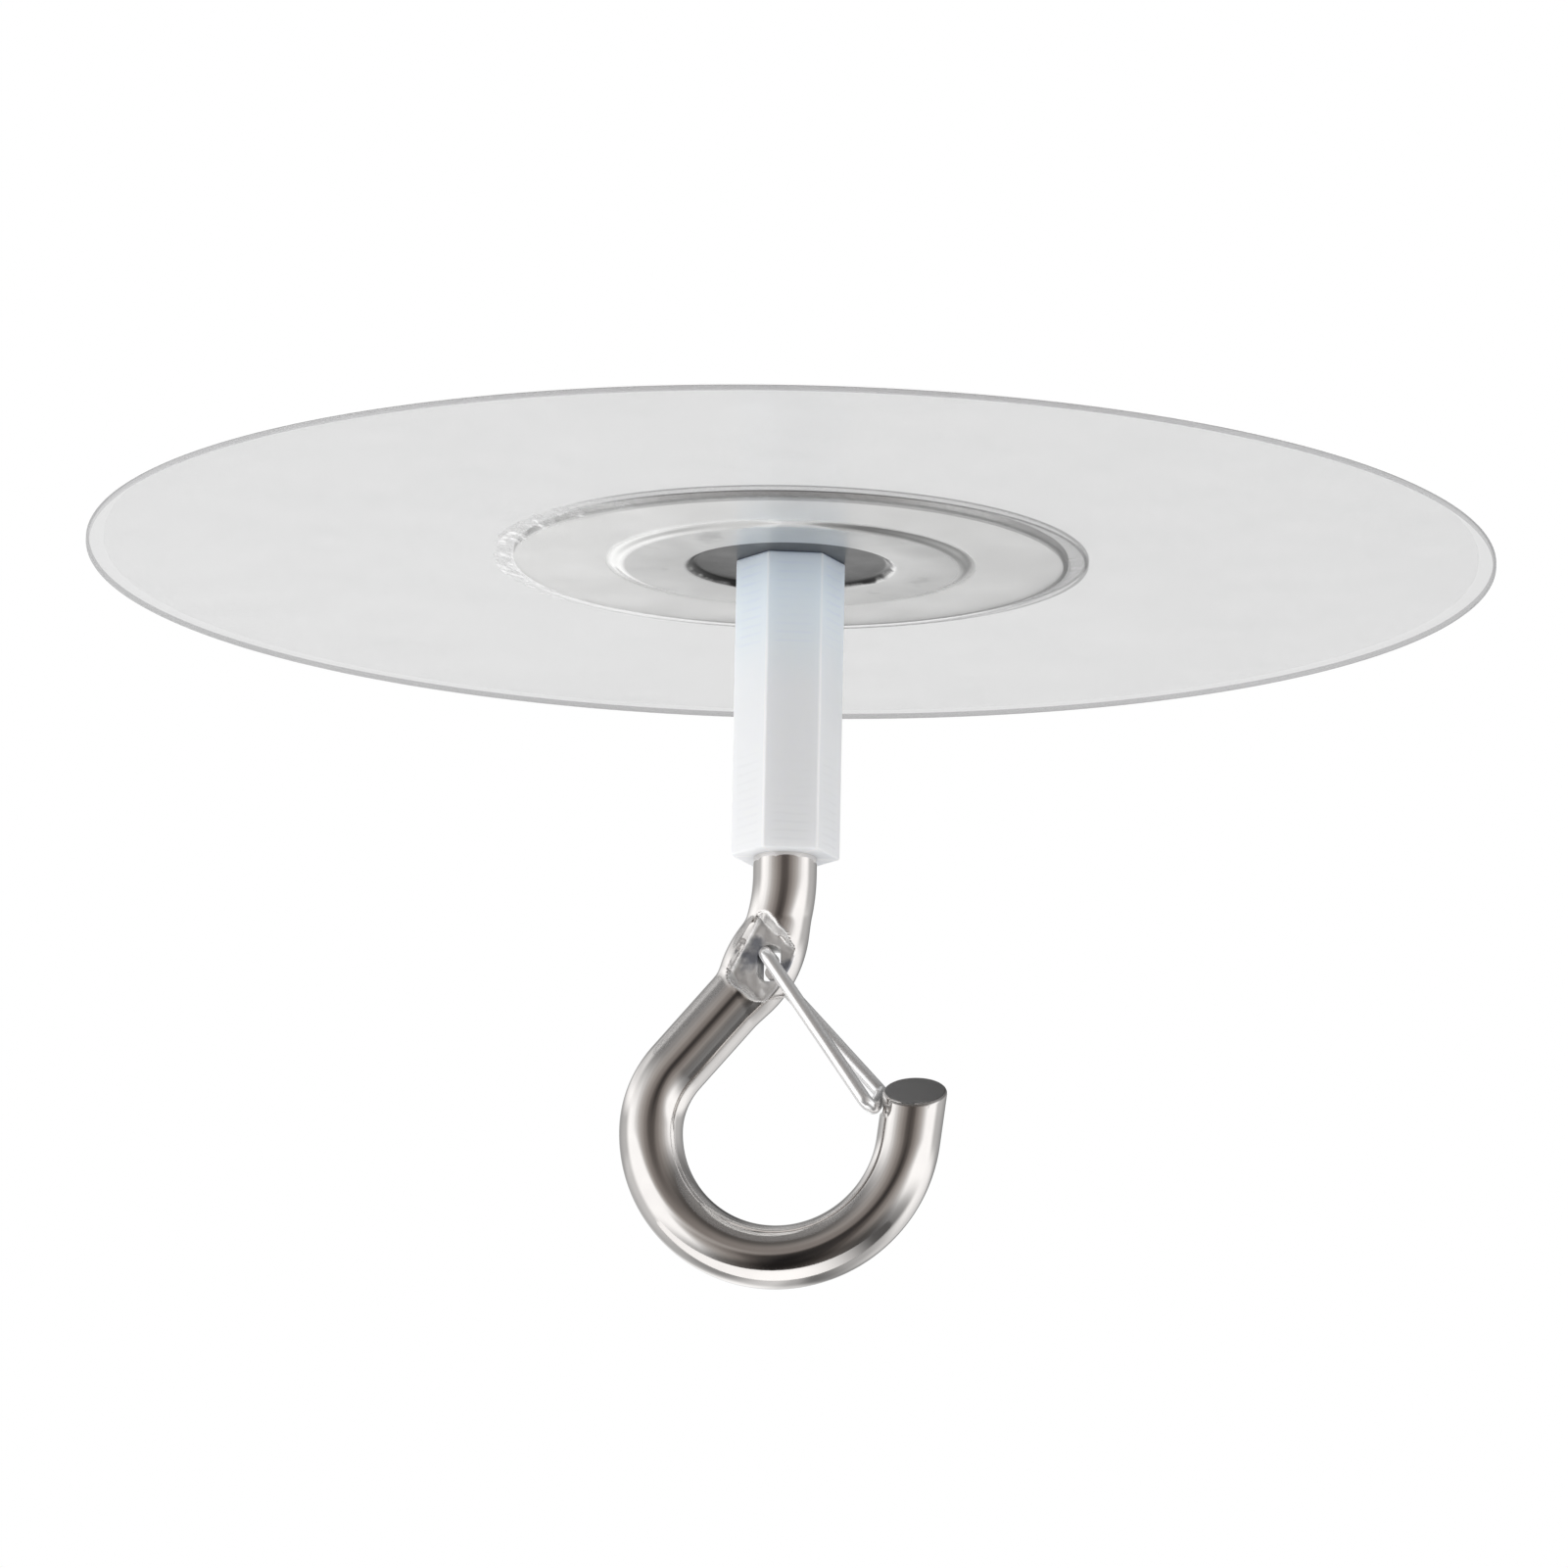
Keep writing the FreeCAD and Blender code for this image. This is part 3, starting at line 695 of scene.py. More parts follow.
@dataclass(frozen=True)
class NylonFinish:
    """Milky nylon: with painted bluish shade towards the plate, a faint painted glow that is stronger at the
    top, painted highlights along the corners, and the threads inside showing faintly as lines.
    """

    shaded_top: Colour = (0.84, 0.91, 0.98)
    middle: Colour = (0.935, 0.965, 0.99)
    lower: Colour = (0.955, 0.97, 0.985)
    painted_glow: Colour = (0.012, 0.016, 0.022)
    top_painted_glow: Colour = (0.06, 0.076, 0.104)
    corner_highlight: Colour = (0.1, 0.105, 0.11)
    shadow: Colour = (0.2, 0.22, 0.25)
    pitch: float = 0.5 * MM
    line_depth: float = 0.085
    line_from_corner: float = math.radians(5.0)
    line_full_from: float = math.radians(14.0)
    edge_from: float = math.radians(0.3)
    edge_to: float = math.radians(2.4)
    ripple_depth: float = 0.008 * MM

    def build(self, effects: Effects, sleeve: "HexSleeve") -> bpy.types.Material:
        """Build the material for a sleeve's own sizes.

        Args:
            effects: The shared effects.
            sleeve: The sleeve whose ends the colour and the lines follow.

        Returns:
            The material.
        """
        material, desk, shader = new_finish(
            "milky_nylon",
            IOR=1.53,
            Subsurface_Weight=0.75,
            Subsurface_Radius=(1.0, 1.0, 1.05),
            Subsurface_Scale=0.7 * MM,
            Transmission_Weight=0.12,
            Emission_Strength=1.0,
        )
        across, depth, level = desk.add("SeparateXYZ", {0: desk.place()}).outputs
        turn = desk.math("SUBTRACT", desk.math("ARCTAN2", depth, across), sleeve.turn)
        from_corner = desk.math("PINGPONG", turn, math.radians(30.0))
        face_middle = desk.ramp(from_corner, self.line_from_corner, self.line_full_from, 0.0, 1.0)
        # Mask for the painted highlight along the hexagon's corners.
        corner = desk.ramp(from_corner, self.edge_from, self.edge_to, 1.0, 0.0)
        top, base, reach = sleeve.top, sleeve.base, sleeve.thread_reach
        fade = desk.ramp(level, top - 1.5 * reach, top - 0.1 * reach, 0.0, 1.0)
        clearing = desk.ramp(level, base, base + 1.6 * reach, 1.0, 0.0)
        tone = desk.mix(clearing, self.middle, self.lower)
        # Painted shade: the top, towards the plate, is painted darker and bluish.
        tone = desk.mix(fade, tone, self.shaded_top)
        near_top = desk.ramp(level, top - reach, top - 0.8 * reach, 0.0, 1.0)
        near_base = desk.ramp(level, base + 0.8 * reach, base + reach, 1.0, 0.0)
        threaded = desk.math("MAXIMUM", near_top, near_base)
        wander = desk.group(effects.mottle, Scale=380.0, Low=-0.6, High=0.6)
        turns = desk.product(level, math.tau / self.pitch)
        wave = desk.math("SINE", desk.math("ADD", turns, wander))
        broken = desk.group(effects.mottle, Scale=260.0, Low=0.0, High=1.0)
        wave = desk.ramp(wave, 0.2, 1.0, 0.0, self.line_depth)
        line = desk.product(wave, broken, threaded, face_middle)
        cloud = desk.group(effects.mottle, Scale=300.0, Low=0.0, High=0.05)
        shade = desk.math("ADD", line, cloud)
        ripple = desk.group(effects.mottle, Scale=800.0, Low=0.0, High=1.0)
        feed(
            desk,
            shader,
            Base_Color=desk.mix(shade, tone, self.shadow),
            # Painted glow: the emission paints a faint glow over the sleeve, stronger and bluish at the top,
            # and painted highlights along the corners.
            Emission_Color=desk.mix(corner, desk.mix(fade, self.painted_glow, self.top_painted_glow), self.corner_highlight),
            Roughness=desk.group(effects.mottle, Scale=500.0, Low=0.28, High=0.42),
            Normal=bump(desk, ripple, self.ripple_depth),
        )
        return material


@dataclass(frozen=True)
class SteelFinish:
    """Plain steel with an uneven shine and fine drawn grain."""

    name: str
    bright: Colour
    dull: Colour
    polish: float
    haze: float
    metallic: float = 1.0
    grain_depth: float = 0.002 * MM

    def build(self, effects: Effects) -> bpy.types.Material:
        """Build the material.

        Args:
            effects: The shared effects.

        Returns:
            The material.
        """
        material, desk, shader = new_finish(self.name, Metallic=self.metallic)
        smudge = desk.group(effects.mottle, Scale=420.0)
        grain = desk.group(effects.mottle, Scale=1700.0)
        feed(
            desk,
            shader,
            Base_Color=desk.mix(smudge, self.dull, self.bright),
            Roughness=desk.group(effects.mottle, Scale=650.0, Low=self.polish, High=self.haze),
            Normal=bump(desk, grain, self.grain_depth),
        )
        return material


@dataclass(frozen=True)
class HookFinish:
    """Polished steel that is rougher where it was pressed, with painted highlights on the press shoulders,
    and darker where it was cut.
    """

    bright: Colour = (0.80, 0.775, 0.755)
    dull: Colour = (0.74, 0.715, 0.70)
    polish: float = 0.07
    haze: float = 0.12
    pressed_roughness: float = 0.36
    pressed_dullness: float = 0.55
    shoulder_highlight: Colour = (0.92, 0.91, 0.90)
    flat_colour: Colour = (0.80, 0.79, 0.78)
    bruise_colour: Colour = (0.26, 0.27, 0.30)
    cut_colour: Colour = (0.28, 0.275, 0.275)
    flat_from: float = 0.7
    dent_depth: float = 0.02 * MM

    def build(self, effects: Effects) -> bpy.types.Material:
        """Build the material, which reads the masks that were drawn on the hook.

        Args:
            effects: The shared effects.

        Returns:
            The material.
        """
        material, desk, shader = new_finish("polished_steel")
        pressed = desk.add("Attribute", attribute_name="pressed").outputs["Fac"]
        cut = desk.add("Attribute", attribute_name="cut_end").outputs["Fac"]
        smudge = desk.group(effects.mottle, Scale=420.0)
        steel = desk.mix(smudge, self.dull, self.bright)
        streaks = desk.group(effects.mottle, Scale=1300.0, Detail=3.0, Low=-0.12, High=0.12)
        depth = desk.math("ADD", pressed, desk.product(streaks, pressed))
        shoulder, flat, bruise = (mark.value for mark in PressMark)
        flattened = desk.ramp(depth, shoulder, self.flat_from, 0.0, 1.0)
        bruised = desk.ramp(depth, flat, bruise, 0.0, 1.0)
        # Painted highlight: the shoulders round the flats are painted lighter than the flats.
        rough_steel = desk.mix(flattened, self.shoulder_highlight, self.flat_colour)
        rough_steel = desk.mix(bruised, rough_steel, self.bruise_colour)
        steel = desk.mix(desk.ramp(pressed, 0.0, shoulder, 0.0, 1.0), steel, rough_steel)
        shine = desk.group(effects.mottle, Scale=650.0, Low=self.polish, High=self.haze)
        rough = desk.product(desk.math("MAXIMUM", pressed, cut), self.pressed_roughness)
        dents = desk.group(effects.mottle, Scale=1700.0)
        feed(
            desk,
            shader,
            Base_Color=desk.mix(cut, steel, self.cut_colour),
            Metallic=desk.math("MULTIPLY_ADD", pressed, -self.pressed_dullness, 1.0),
            Roughness=desk.math("ADD", shine, rough),
            Normal=bump(desk, desk.product(dents, pressed), self.dent_depth),
        )
        return material


# The pieces


@dataclass
class StickOnDisc:
    """Clear film that steps over the plate's edge, and the adhesive layer behind it."""

    radius: float = 40.0 * MM
    thickness: float = 0.3 * MM
    bonded_thickness: float = 0.16 * MM
    back: float = -0.3 * MM
    plate_face: float = -0.7 * MM
    lift: float = 0.01 * MM
    step_inner: float = 15.85 * MM
    step_outer: float = 16.7 * MM
    hole: float = 10.494 * MM
    edge_line: float = 0.16 * MM
    foot_line: float = 0.18 * MM
    rim_shade_width: float = 0.35 * MM
    rim_rounding: float = 0.06 * MM
    step_rounding: float = 0.2 * MM
    steps: int = 240

    def build(self, effects: Effects) -> None:
        """Model the film, and dress it and the adhesive layer.

        Args:
            effects: The shared effects.
        """
        behind = self.back - self.lift
        front = self.back - self.thickness
        seat = self.plate_face - self.lift
        step_front = self.plate_face - self.bonded_thickness
        film = turn_outline(
            "film_disc",
            [
                Corner(self.radius, front, self.rim_rounding),
                Corner(self.radius, behind, self.rim_rounding),
                Corner(self.step_outer, behind, self.step_rounding),
                Corner(self.step_inner, seat, self.step_rounding),
                Corner(self.hole, seat, self.rim_rounding),
                Corner(self.hole, step_front, self.rim_rounding),
                Corner(self.step_inner, step_front, self.step_rounding),
                Corner(self.step_outer, front, self.step_rounding),
            ],
            self.steps,
        )
        dress(film, FilmFinish().build(effects, self))
        hand_over(film, Body.HANGER, "clear_disc")
        adhesive = AdhesiveFinish().build(effects)
        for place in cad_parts["adhesive_layer"].material_slots:
            place.material = adhesive
            LOG.info("adhesive_layer: dressed")


@dataclass
class PressedPlate:
    """Steel plate with a flange, a raised ring and a shallow dish, all of one sheet."""

    radius: float = 15.75 * MM
    thickness: float = 0.4 * MM
    back: float = -0.31 * MM
    face: float = -0.7 * MM
    boss_drop: float = 0.3 * MM
    boss_inner: float = 9.6 * MM
    boss_slope: float = math.radians(28.0)
    dish_outer: float = 5.9 * MM
    dish_slope: float = math.radians(35.0)
    rim_rounding: float = 0.04 * MM
    boss_rounding: float = 0.28 * MM
    dish_rounding: float = 0.2 * MM
    steps: int = 240

    @property
    def boss_outer(self) -> float:
        """Give the radius where the raised ring's slope meets the flange."""
        return self.boss_inner + self.boss_drop / math.tan(self.boss_slope)

    @property
    def dish_inner_low(self) -> float:
        """Give the radius of the dish's floor on the visible side."""
        return self.dish_outer - self.boss_drop / math.tan(self.dish_slope)

    def build(self, effects: Effects) -> None:
        """Model the plate and dress it.

        Args:
            effects: The shared effects.
        """
        boss_shift = self.thickness * math.tan(self.boss_slope / 2.0)
        dish_shift = self.thickness * math.tan(self.dish_slope / 2.0)
        tier = self.face - self.boss_drop
        tier_back = tier + self.thickness
        plate = turn_outline(
            "pressed_plate",
            [
                Corner(self.radius, self.face, self.rim_rounding),
                Corner(self.radius, self.back, self.rim_rounding),
                Corner(self.boss_outer, self.back, self.boss_rounding),
                Corner(self.boss_inner, tier_back, self.boss_rounding),
                Corner(self.dish_outer + dish_shift, tier_back, self.dish_rounding),
                Corner(self.dish_inner_low + dish_shift, self.back, self.dish_rounding),
                Corner(0.0, self.back),
                Corner(0.0, self.face),
                Corner(self.dish_inner_low, self.face, self.dish_rounding),
                Corner(self.dish_outer, tier, self.dish_rounding),
                Corner(self.boss_inner + boss_shift, tier, self.boss_rounding),
                Corner(self.boss_outer + boss_shift, self.face, self.boss_rounding),
            ],
            self.steps,
        )
        dress(plate, PlateFinish().build(effects, self))
        hand_over(plate, Body.HANGER, "backing_plate")


@dataclass
class Thread:
    """A three-millimetre screw thread with flat crests."""

    crest: float = 1.47 * MM
    root: float = 1.2 * MM
    pitch: float = 0.5 * MM
    crest_share: float = 0.125
    steps: int = 48

    def build(self, name: str, low: float, high: float) -> bpy.types.Object:
        """Model a threaded rod about the upright axis.

        Args:
            name: The piece's name.
            low: Its lower end.
            high: Its upper end.

        Returns:
            The rod, closed at both ends.
        """
        turns = math.ceil((high - low) / self.pitch) + 2
        flank = self.pitch * (1.0 - 2.0 * self.crest_share) / 2.0
        crest_width = self.pitch * self.crest_share
        moves = [
            Vector((self.crest - self.root, 0.0, flank)),
            Vector((0.0, 0.0, crest_width)),
            Vector((self.root - self.crest, 0.0, flank)),
            Vector((0.0, 0.0, crest_width)),
        ]
        clear_selection()
        bpy.ops.mesh.primitive_plane_add(size=MM)
        rod = settle_new_piece(name)
        with editing(rod):
            bpy.ops.mesh.merge(type="CENTER")
            bpy.ops.transform.translate(value=(self.root, 0.0, low - self.pitch))
            for move in moves:
                bpy.ops.mesh.extrude_vertices_move(TRANSFORM_OT_translate={"value": move})
        screw = rod.modifiers.new("screw", "SCREW")
        screw.axis = "Z"
        screw.screw_offset = self.pitch
        screw.iterations = turns
        screw.steps = self.steps
        screw.render_steps = self.steps
        screw.use_merge_vertices = True
        screw.merge_threshold = MERGE_DISTANCE
        bpy.ops.object.modifier_apply(modifier=screw.name)
        with editing(rod):
            bpy.ops.mesh.remove_doubles(threshold=MERGE_DISTANCE)
            for level, keep_above in ((low, True), (high, False)):
                bpy.ops.mesh.select_all(action="SELECT")
                bpy.ops.mesh.bisect(
                    plane_co=(0.0, 0.0, level),
                    plane_no=UP,
                    threshold=MERGE_DISTANCE,
                    use_fill=True,
                    clear_inner=keep_above,
                    clear_outer=not keep_above,
                )
        tidy_mesh(rod)
        return rod


@dataclass
class ThreadedStud:
    """Stud that is welded by its end to the plate's dish and whose thread holds the sleeve."""

    seat: float = -0.7 * MM
    tip: float = -6.7 * MM
    weld_radius: float = 1.6 * MM
    weld_height: float = 0.13 * MM
    rounding: float = 0.04 * MM
    steps: int = 64

    def build(self, effects: Effects) -> None:
        """Model the stud and dress it.

        Args:
            effects: The shared effects.
        """
        thread = Thread()
        weld_low = self.seat - self.weld_height
        stud = turn_outline(
            "welded_stud",
            [
                Corner(0.0, self.seat),
                Corner(self.weld_radius, self.seat, self.rounding),
                Corner(thread.crest, weld_low, self.rounding),
                Corner(0.0, weld_low),
            ],
            self.steps,
        )
        join_pieces(stud, [thread.build("stud_rod", self.tip, self.seat)])
        finish = SteelFinish("stud_steel", (0.66, 0.66, 0.66), (0.52, 0.52, 0.53), 0.28, 0.42)
        dress(stud, finish.build(effects))
        hand_over(stud, Body.HANGER, "stud")


@dataclass
class HexSleeve:
    """Hexagonal nylon spacer with a bore right through."""

    flats: float = 5.4 * MM
    turn: float = math.radians(16.0)
    top: float = -0.7 * MM
    base: float = -17.9 * MM
    bore: float = 1.5 * MM
    sink: float = 0.15 * MM
    thread_reach: float = 6.0 * MM
    edge_rounding: float = 0.12 * MM
    bore_steps: int = 64
    cut_past: float = MM

    def build(self, effects: Effects) -> None:
        """Model the sleeve and dress it.

        Args:
            effects: The shared effects.
        """
        clear_selection()
        half_corner = math.radians(30.0)
        bpy.ops.mesh.primitive_cylinder_add(
            vertices=6,
            radius=self.flats / 2.0 / math.cos(half_corner),
            depth=self.top - self.base,
            location=(0.0, 0.0, (self.top + self.base) / 2.0),
            rotation=(0.0, 0.0, self.turn + half_corner),
        )
        sleeve = settle_new_piece("nylon_sleeve")
        with editing(sleeve):
            bpy.ops.mesh.bevel(offset=self.edge_rounding, segments=4, affect="EDGES")
        wide = self.bore + self.sink
        cutter = turn_outline(
            "bore_cutter",
            [
                Corner(0.0, self.top + self.cut_past),
                Corner(wide, self.top + self.cut_past),
                Corner(wide, self.top),
                Corner(self.bore, self.top - self.sink),
                Corner(self.bore, self.base + self.sink),
                Corner(wide, self.base),
                Corner(wide, self.base - self.cut_past),
                Corner(0.0, self.base - self.cut_past),
            ],
            self.bore_steps,
        )
        cut_away(sleeve, cutter)
        tidy_mesh(sleeve)
        dress(sleeve, NylonFinish().build(effects, self))
        hand_over(sleeve, Body.HANGER, "hex_sleeve")


@dataclass
class SteelHook:
    """Bent steel bar: threaded shank, pressed neck with a pivot slot, bowl and slanted notched tip."""

    bar: float = 1.8 * MM
    shoulder: float = -17.9 * MM
    shank: float = 1.0 * MM
    thread_length: float = 6.0 * MM
    neck_bend: float = 11.0 * MM
    arm_angle: float = math.radians(41.5)
    upper_bend: float = 5.5 * MM
    bowl_bend: float = 7.4 * MM
    tip_lean: float = math.radians(7.0)
    tip_length: float = 3.0 * MM
    tip_slant: float = math.radians(25.0)
    end_slant: float = math.radians(32.0)
    tip_rounding: float = 0.2 * MM
    flat_turn: float = math.radians(27.0)
    flat_half_thickness: float = 1.15 * MM
    flat_half_length: float = 1.75 * MM
    swell: float = 0.33 * MM
    swell_half: float = 3.4 * MM
    swell_end: float = 0.7
    press_blend: float = 0.14 * MM
    press_skew: float = 0.3
    press_wander: float = 0.22 * MM
    wander_scale: float = 0.8 * MM
    shoulder_rise: float = 1.3
    lip_start: float = 1.05 * MM
    lip_rise: float = 2.2
    dent: float = 0.06 * MM
    dent_scale: float = 0.9 * MM
    pit_scale: float = 0.35 * MM
    pit_share: float = 0.5
    dent_sink: float = 0.4
    bruises: tuple[tuple[float, float, float], ...] = (
        (-0.55 * MM, 0.8 * MM, 1.5 * MM),
        (1.65 * MM, 0.5 * MM, 0.8 * MM),
    )
    bruise_edge: float = 1.8
    slot_offset: float = 0.65 * MM
    slot_round: float = 0.67 * MM
    slot_half: float = 0.38 * MM
    slot_sink: float = 0.1 * MM
    notch_round: float = 0.6 * MM
    notch_depth: float = 0.25 * MM
    notch_drop: float = 1.0 * MM
    sides: int = 96
    shank_steps: int = 10
    neck_steps: int = 150
    arm_steps: int = 60
    elbow_steps: int = 36
    bowl_steps: int = 150
    tip_steps: int = 10
    rim_steps: int = 4
    round_steps: int = 64

    @property
    def neck_start(self) -> float:
        """Give the level where the neck starts to bend."""
        return self.shoulder - self.shank

    @property
    def bowl_level(self) -> float:
        """Give the level of the bowl's centre."""
        corner = self.neck_start - self.neck_bend * math.tan(self.arm_angle / 2.0)
        gap = self.bowl_bend - self.upper_bend
        return corner - (self.upper_bend + gap * math.cos(self.arm_angle)) / math.sin(self.arm_angle)

    @property
    def tip_axis(self) -> Vector:
        """Give the direction of the tip."""
        return Vector((math.sin(self.tip_lean), 0.0, math.cos(self.tip_lean)))

    @property
    def bowl_end(self) -> Vector:
        """Give the place where the bowl ends and the tip starts."""
        across = self.bowl_bend * math.cos(self.tip_lean)
        return Vector((across, 0.0, self.bowl_level - self.bowl_bend * math.sin(self.tip_lean)))

    @property
    def tip(self) -> Vector:
        """Give the middle of the tip's end."""
        return self.bowl_end + self.tip_axis * self.tip_length

    @property
    def notch(self) -> Vector:
        """Give the middle of the round that cuts the notch."""
        inward = Vector((-self.tip_axis.z, 0.0, self.tip_axis.x))
        out = self.bar + self.notch_round - self.notch_depth
        return self.tip - self.tip_axis * self.notch_drop + inward * out

    @property
    def flat_centre(self) -> Vector:
        """Give the middle of the pressed neck."""
        across = self.neck_bend * (math.cos(self.flat_turn) - 1.0)
        return Vector((across, 0.0, self.neck_start - self.neck_bend * math.sin(self.flat_turn)))

    @property
    def flat_side(self) -> Vector:
        """Give the direction across the pressed neck, towards the mouth."""
        return Vector((math.cos(self.flat_turn), 0.0, -math.sin(self.flat_turn)))

    @property
    def flat_along(self) -> Vector:
        """Give the direction along the pressed neck, upwards."""
        return Vector((math.sin(self.flat_turn), 0.0, math.cos(self.flat_turn)))

    @property
    def neck_reach(self) -> float:
        """Give how far along the bar the press can have changed it, from the middle of the flat."""
        return 1.5 * self.swell_half

    @property
    def pivot(self) -> Vector:
        """Give the middle of the pivot slot."""
        return self.flat_centre + self.flat_side * self.slot_offset

    def bend_bar(self) -> bpy.types.Object:
        """Draw the bar along its runs and bends.

        Returns:
            The plain bar, with both ends closed.
        """
        bar = BentBar("bent_hook", self.bar, self.sides, UP * self.shoulder, -UP)
        bar.run(UP * self.neck_start, self.shank_steps)
        neck_centre = Vector((-self.neck_bend, 0.0, self.neck_start))
        bar.bend(neck_centre, ACROSS_HOOK, self.arm_angle, self.neck_steps)
        gap = self.bowl_bend - self.upper_bend
        bend_centre = Vector((-gap, 0.0, self.bowl_level))
        outward = Vector((-math.cos(self.arm_angle), 0.0, math.sin(self.arm_angle)))
        bar.run(bend_centre + outward * self.upper_bend, self.arm_steps)
        bar.bend(bend_centre, ACROSS_HOOK, -self.arm_angle, self.elbow_steps)
        bar.bend(UP * self.bowl_level, ACROSS_HOOK, self.tip_lean - math.pi, self.bowl_steps)
        bar.run(self.tip, self.tip_steps)
        return bar.close()

    def slant_tip(self, hook: bpy.types.Object) -> None:
        """Slide the tip's rings along the bar until its end is slanted, then round the rim.

        Args:
            hook: The plain bar.
        """
        axis = self.tip_axis
        for vertex in hook.data.vertices:
            away = vertex.co - self.bowl_end
            along = away.dot(axis)
            if vertex.co.x < self.bar or along < 0.0 or away.length > 2.0 * self.tip_length:
                continue
            slide = vertex.co.y * math.tan(self.end_slant)
            vertex.co += axis * (slide * along / self.tip_length)
        with editing(hook):
            pick_points(hook, lambda spot: self.below_tip_end(spot) < 10.0 * MERGE_DISTANCE)
            bpy.ops.mesh.bevel(offset=self.tip_rounding, segments=self.rim_steps, affect="EDGES")

    def below_tip_end(self, spot: Vector) -> float:
        """Give how far along the bar a point lies below the tip's slanted end."""
        if spot.x < self.bar:
            return math.inf
        return spot.y * math.tan(self.end_slant) - (spot - self.tip).dot(self.tip_axis)

    def beyond_flat(self, along: float, side: float, spot: Vector) -> float:
        """Give how far a place along the neck lies past the flat's slanted, uneven ends."""
        wander = self.press_wander * noise.noise(spot / self.wander_scale)
        return max(abs(along + self.press_skew * side) - self.flat_half_length + wander, 0.0)

    def press_limit(self, along: float, side: float, spot: Vector) -> float:
        """Give half the thickness that the press leaves at a place on the neck.

        Args:
            along: Distance along the neck from the middle of the flat.
            side: Distance across the neck, towards the mouth.
            spot: The point's place, for the dents.

        Returns:
            The largest distance from the hook's middle plane.
        """
        shoulder = self.shoulder_rise * self.beyond_flat(along, side, spot)
        lip = self.lip_rise * soft_max(-side - self.lip_start, 0.0, 2.0 * self.press_blend)
        dents = noise.noise(spot / self.dent_scale) + self.pit_share * noise.noise(spot / self.pit_scale)
        dented = max(1.0 - lip / self.press_blend, 0.0)
        return self.flat_half_thickness + shoulder + lip + self.dent * (dented * dents - self.dent_sink)

    def press_neck(self, hook: bpy.types.Object) -> None:
        """Spread the neck sideways and press its two sides flat.

        Args:
            hook: The plain bar.
        """
        top = self.bar + self.swell
        end = self.swell_end * self.bar
        rise = top - end
        curve = (self.swell_half**2 + rise**2) / (2.0 * rise)
        for vertex in hook.data.vertices:
            away = vertex.co - self.flat_centre
            along = away.dot(self.flat_along)
            side = away.dot(self.flat_side)
            depth = vertex.co.y
            if abs(along) > self.neck_reach or abs(side) > 2.0 * self.bar:
                continue
            reach = math.hypot(side, depth)
            if abs(along) < self.swell_half and reach > 0.5 * self.bar:
                barrel = top - curve + math.sqrt(curve**2 - along**2)
                grown = soft_max(reach, barrel, self.press_blend) / reach
                side *= grown
                depth *= grown
            limit = self.press_limit(along, side, vertex.co)
            flat = math.copysign(soft_min(abs(depth), limit, self.press_blend), depth)
            middle = self.flat_centre + self.flat_along * along + self.flat_side * side
            vertex.co = middle + ACROSS_HOOK * flat

    def slot_cutter(self) -> bpy.types.Object:
        """Model what cuts the pivot slot and sinks its rims.

        Returns:
            The cutter.
        """
        clear_selection()
        quarter = math.radians(90.0)
        bpy.ops.mesh.primitive_circle_add(
            vertices=self.round_steps,
            radius=self.slot_round,
            location=(0.0, 0.0, 0.0),
            rotation=(quarter, 0.0, 0.0),
        )
        cutter = settle_new_piece("slot_cutter")
        for vertex in cutter.data.vertices:
            vertex.co.z += math.copysign(self.slot_half, vertex.co.z)
            vertex.co += self.pivot
        face = self.flat_half_thickness
        wide = 1.0 + self.slot_sink / self.slot_round
        steps = (
            (-2.0 * face, wide),
            (-face, 1.0),
            (self.slot_sink - face, 1.0 / wide),
            (face - self.slot_sink, 1.0),
            (face, wide),
            (2.0 * face, 1.0),
        )
        with editing(cutter):
            level = 0.0
            for number, (depth, growth) in enumerate(steps):
                move = Vector((0.0, depth - level, 0.0))
                if number == 0:
                    bpy.ops.transform.translate(value=move)
                else:
                    bpy.ops.mesh.extrude_edges_move(TRANSFORM_OT_translate={"value": move})
                bpy.ops.transform.resize(
                    value=(growth, 1.0, growth), center_override=self.pivot + Vector((0.0, depth, 0.0))
                )
                level = depth
            bpy.ops.mesh.select_all(action="SELECT")
            bpy.ops.mesh.fill_holes(sides=0)
        tidy_mesh(cutter)
        return cutter

    def notch_cutter(self) -> bpy.types.Object:
        """Model the slanted round that cuts the notch at the tip.

        Returns:
            The cutter.
        """
        clear_selection()
        quarter = math.radians(90.0)
        bpy.ops.mesh.primitive_cylinder_add(
            vertices=self.round_steps,
            radius=self.notch_round,
            depth=6.0 * self.bar,
            location=self.notch,
            rotation=(quarter + self.tip_slant, 0.0, 0.0),
        )
        return settle_new_piece("notch_cutter")

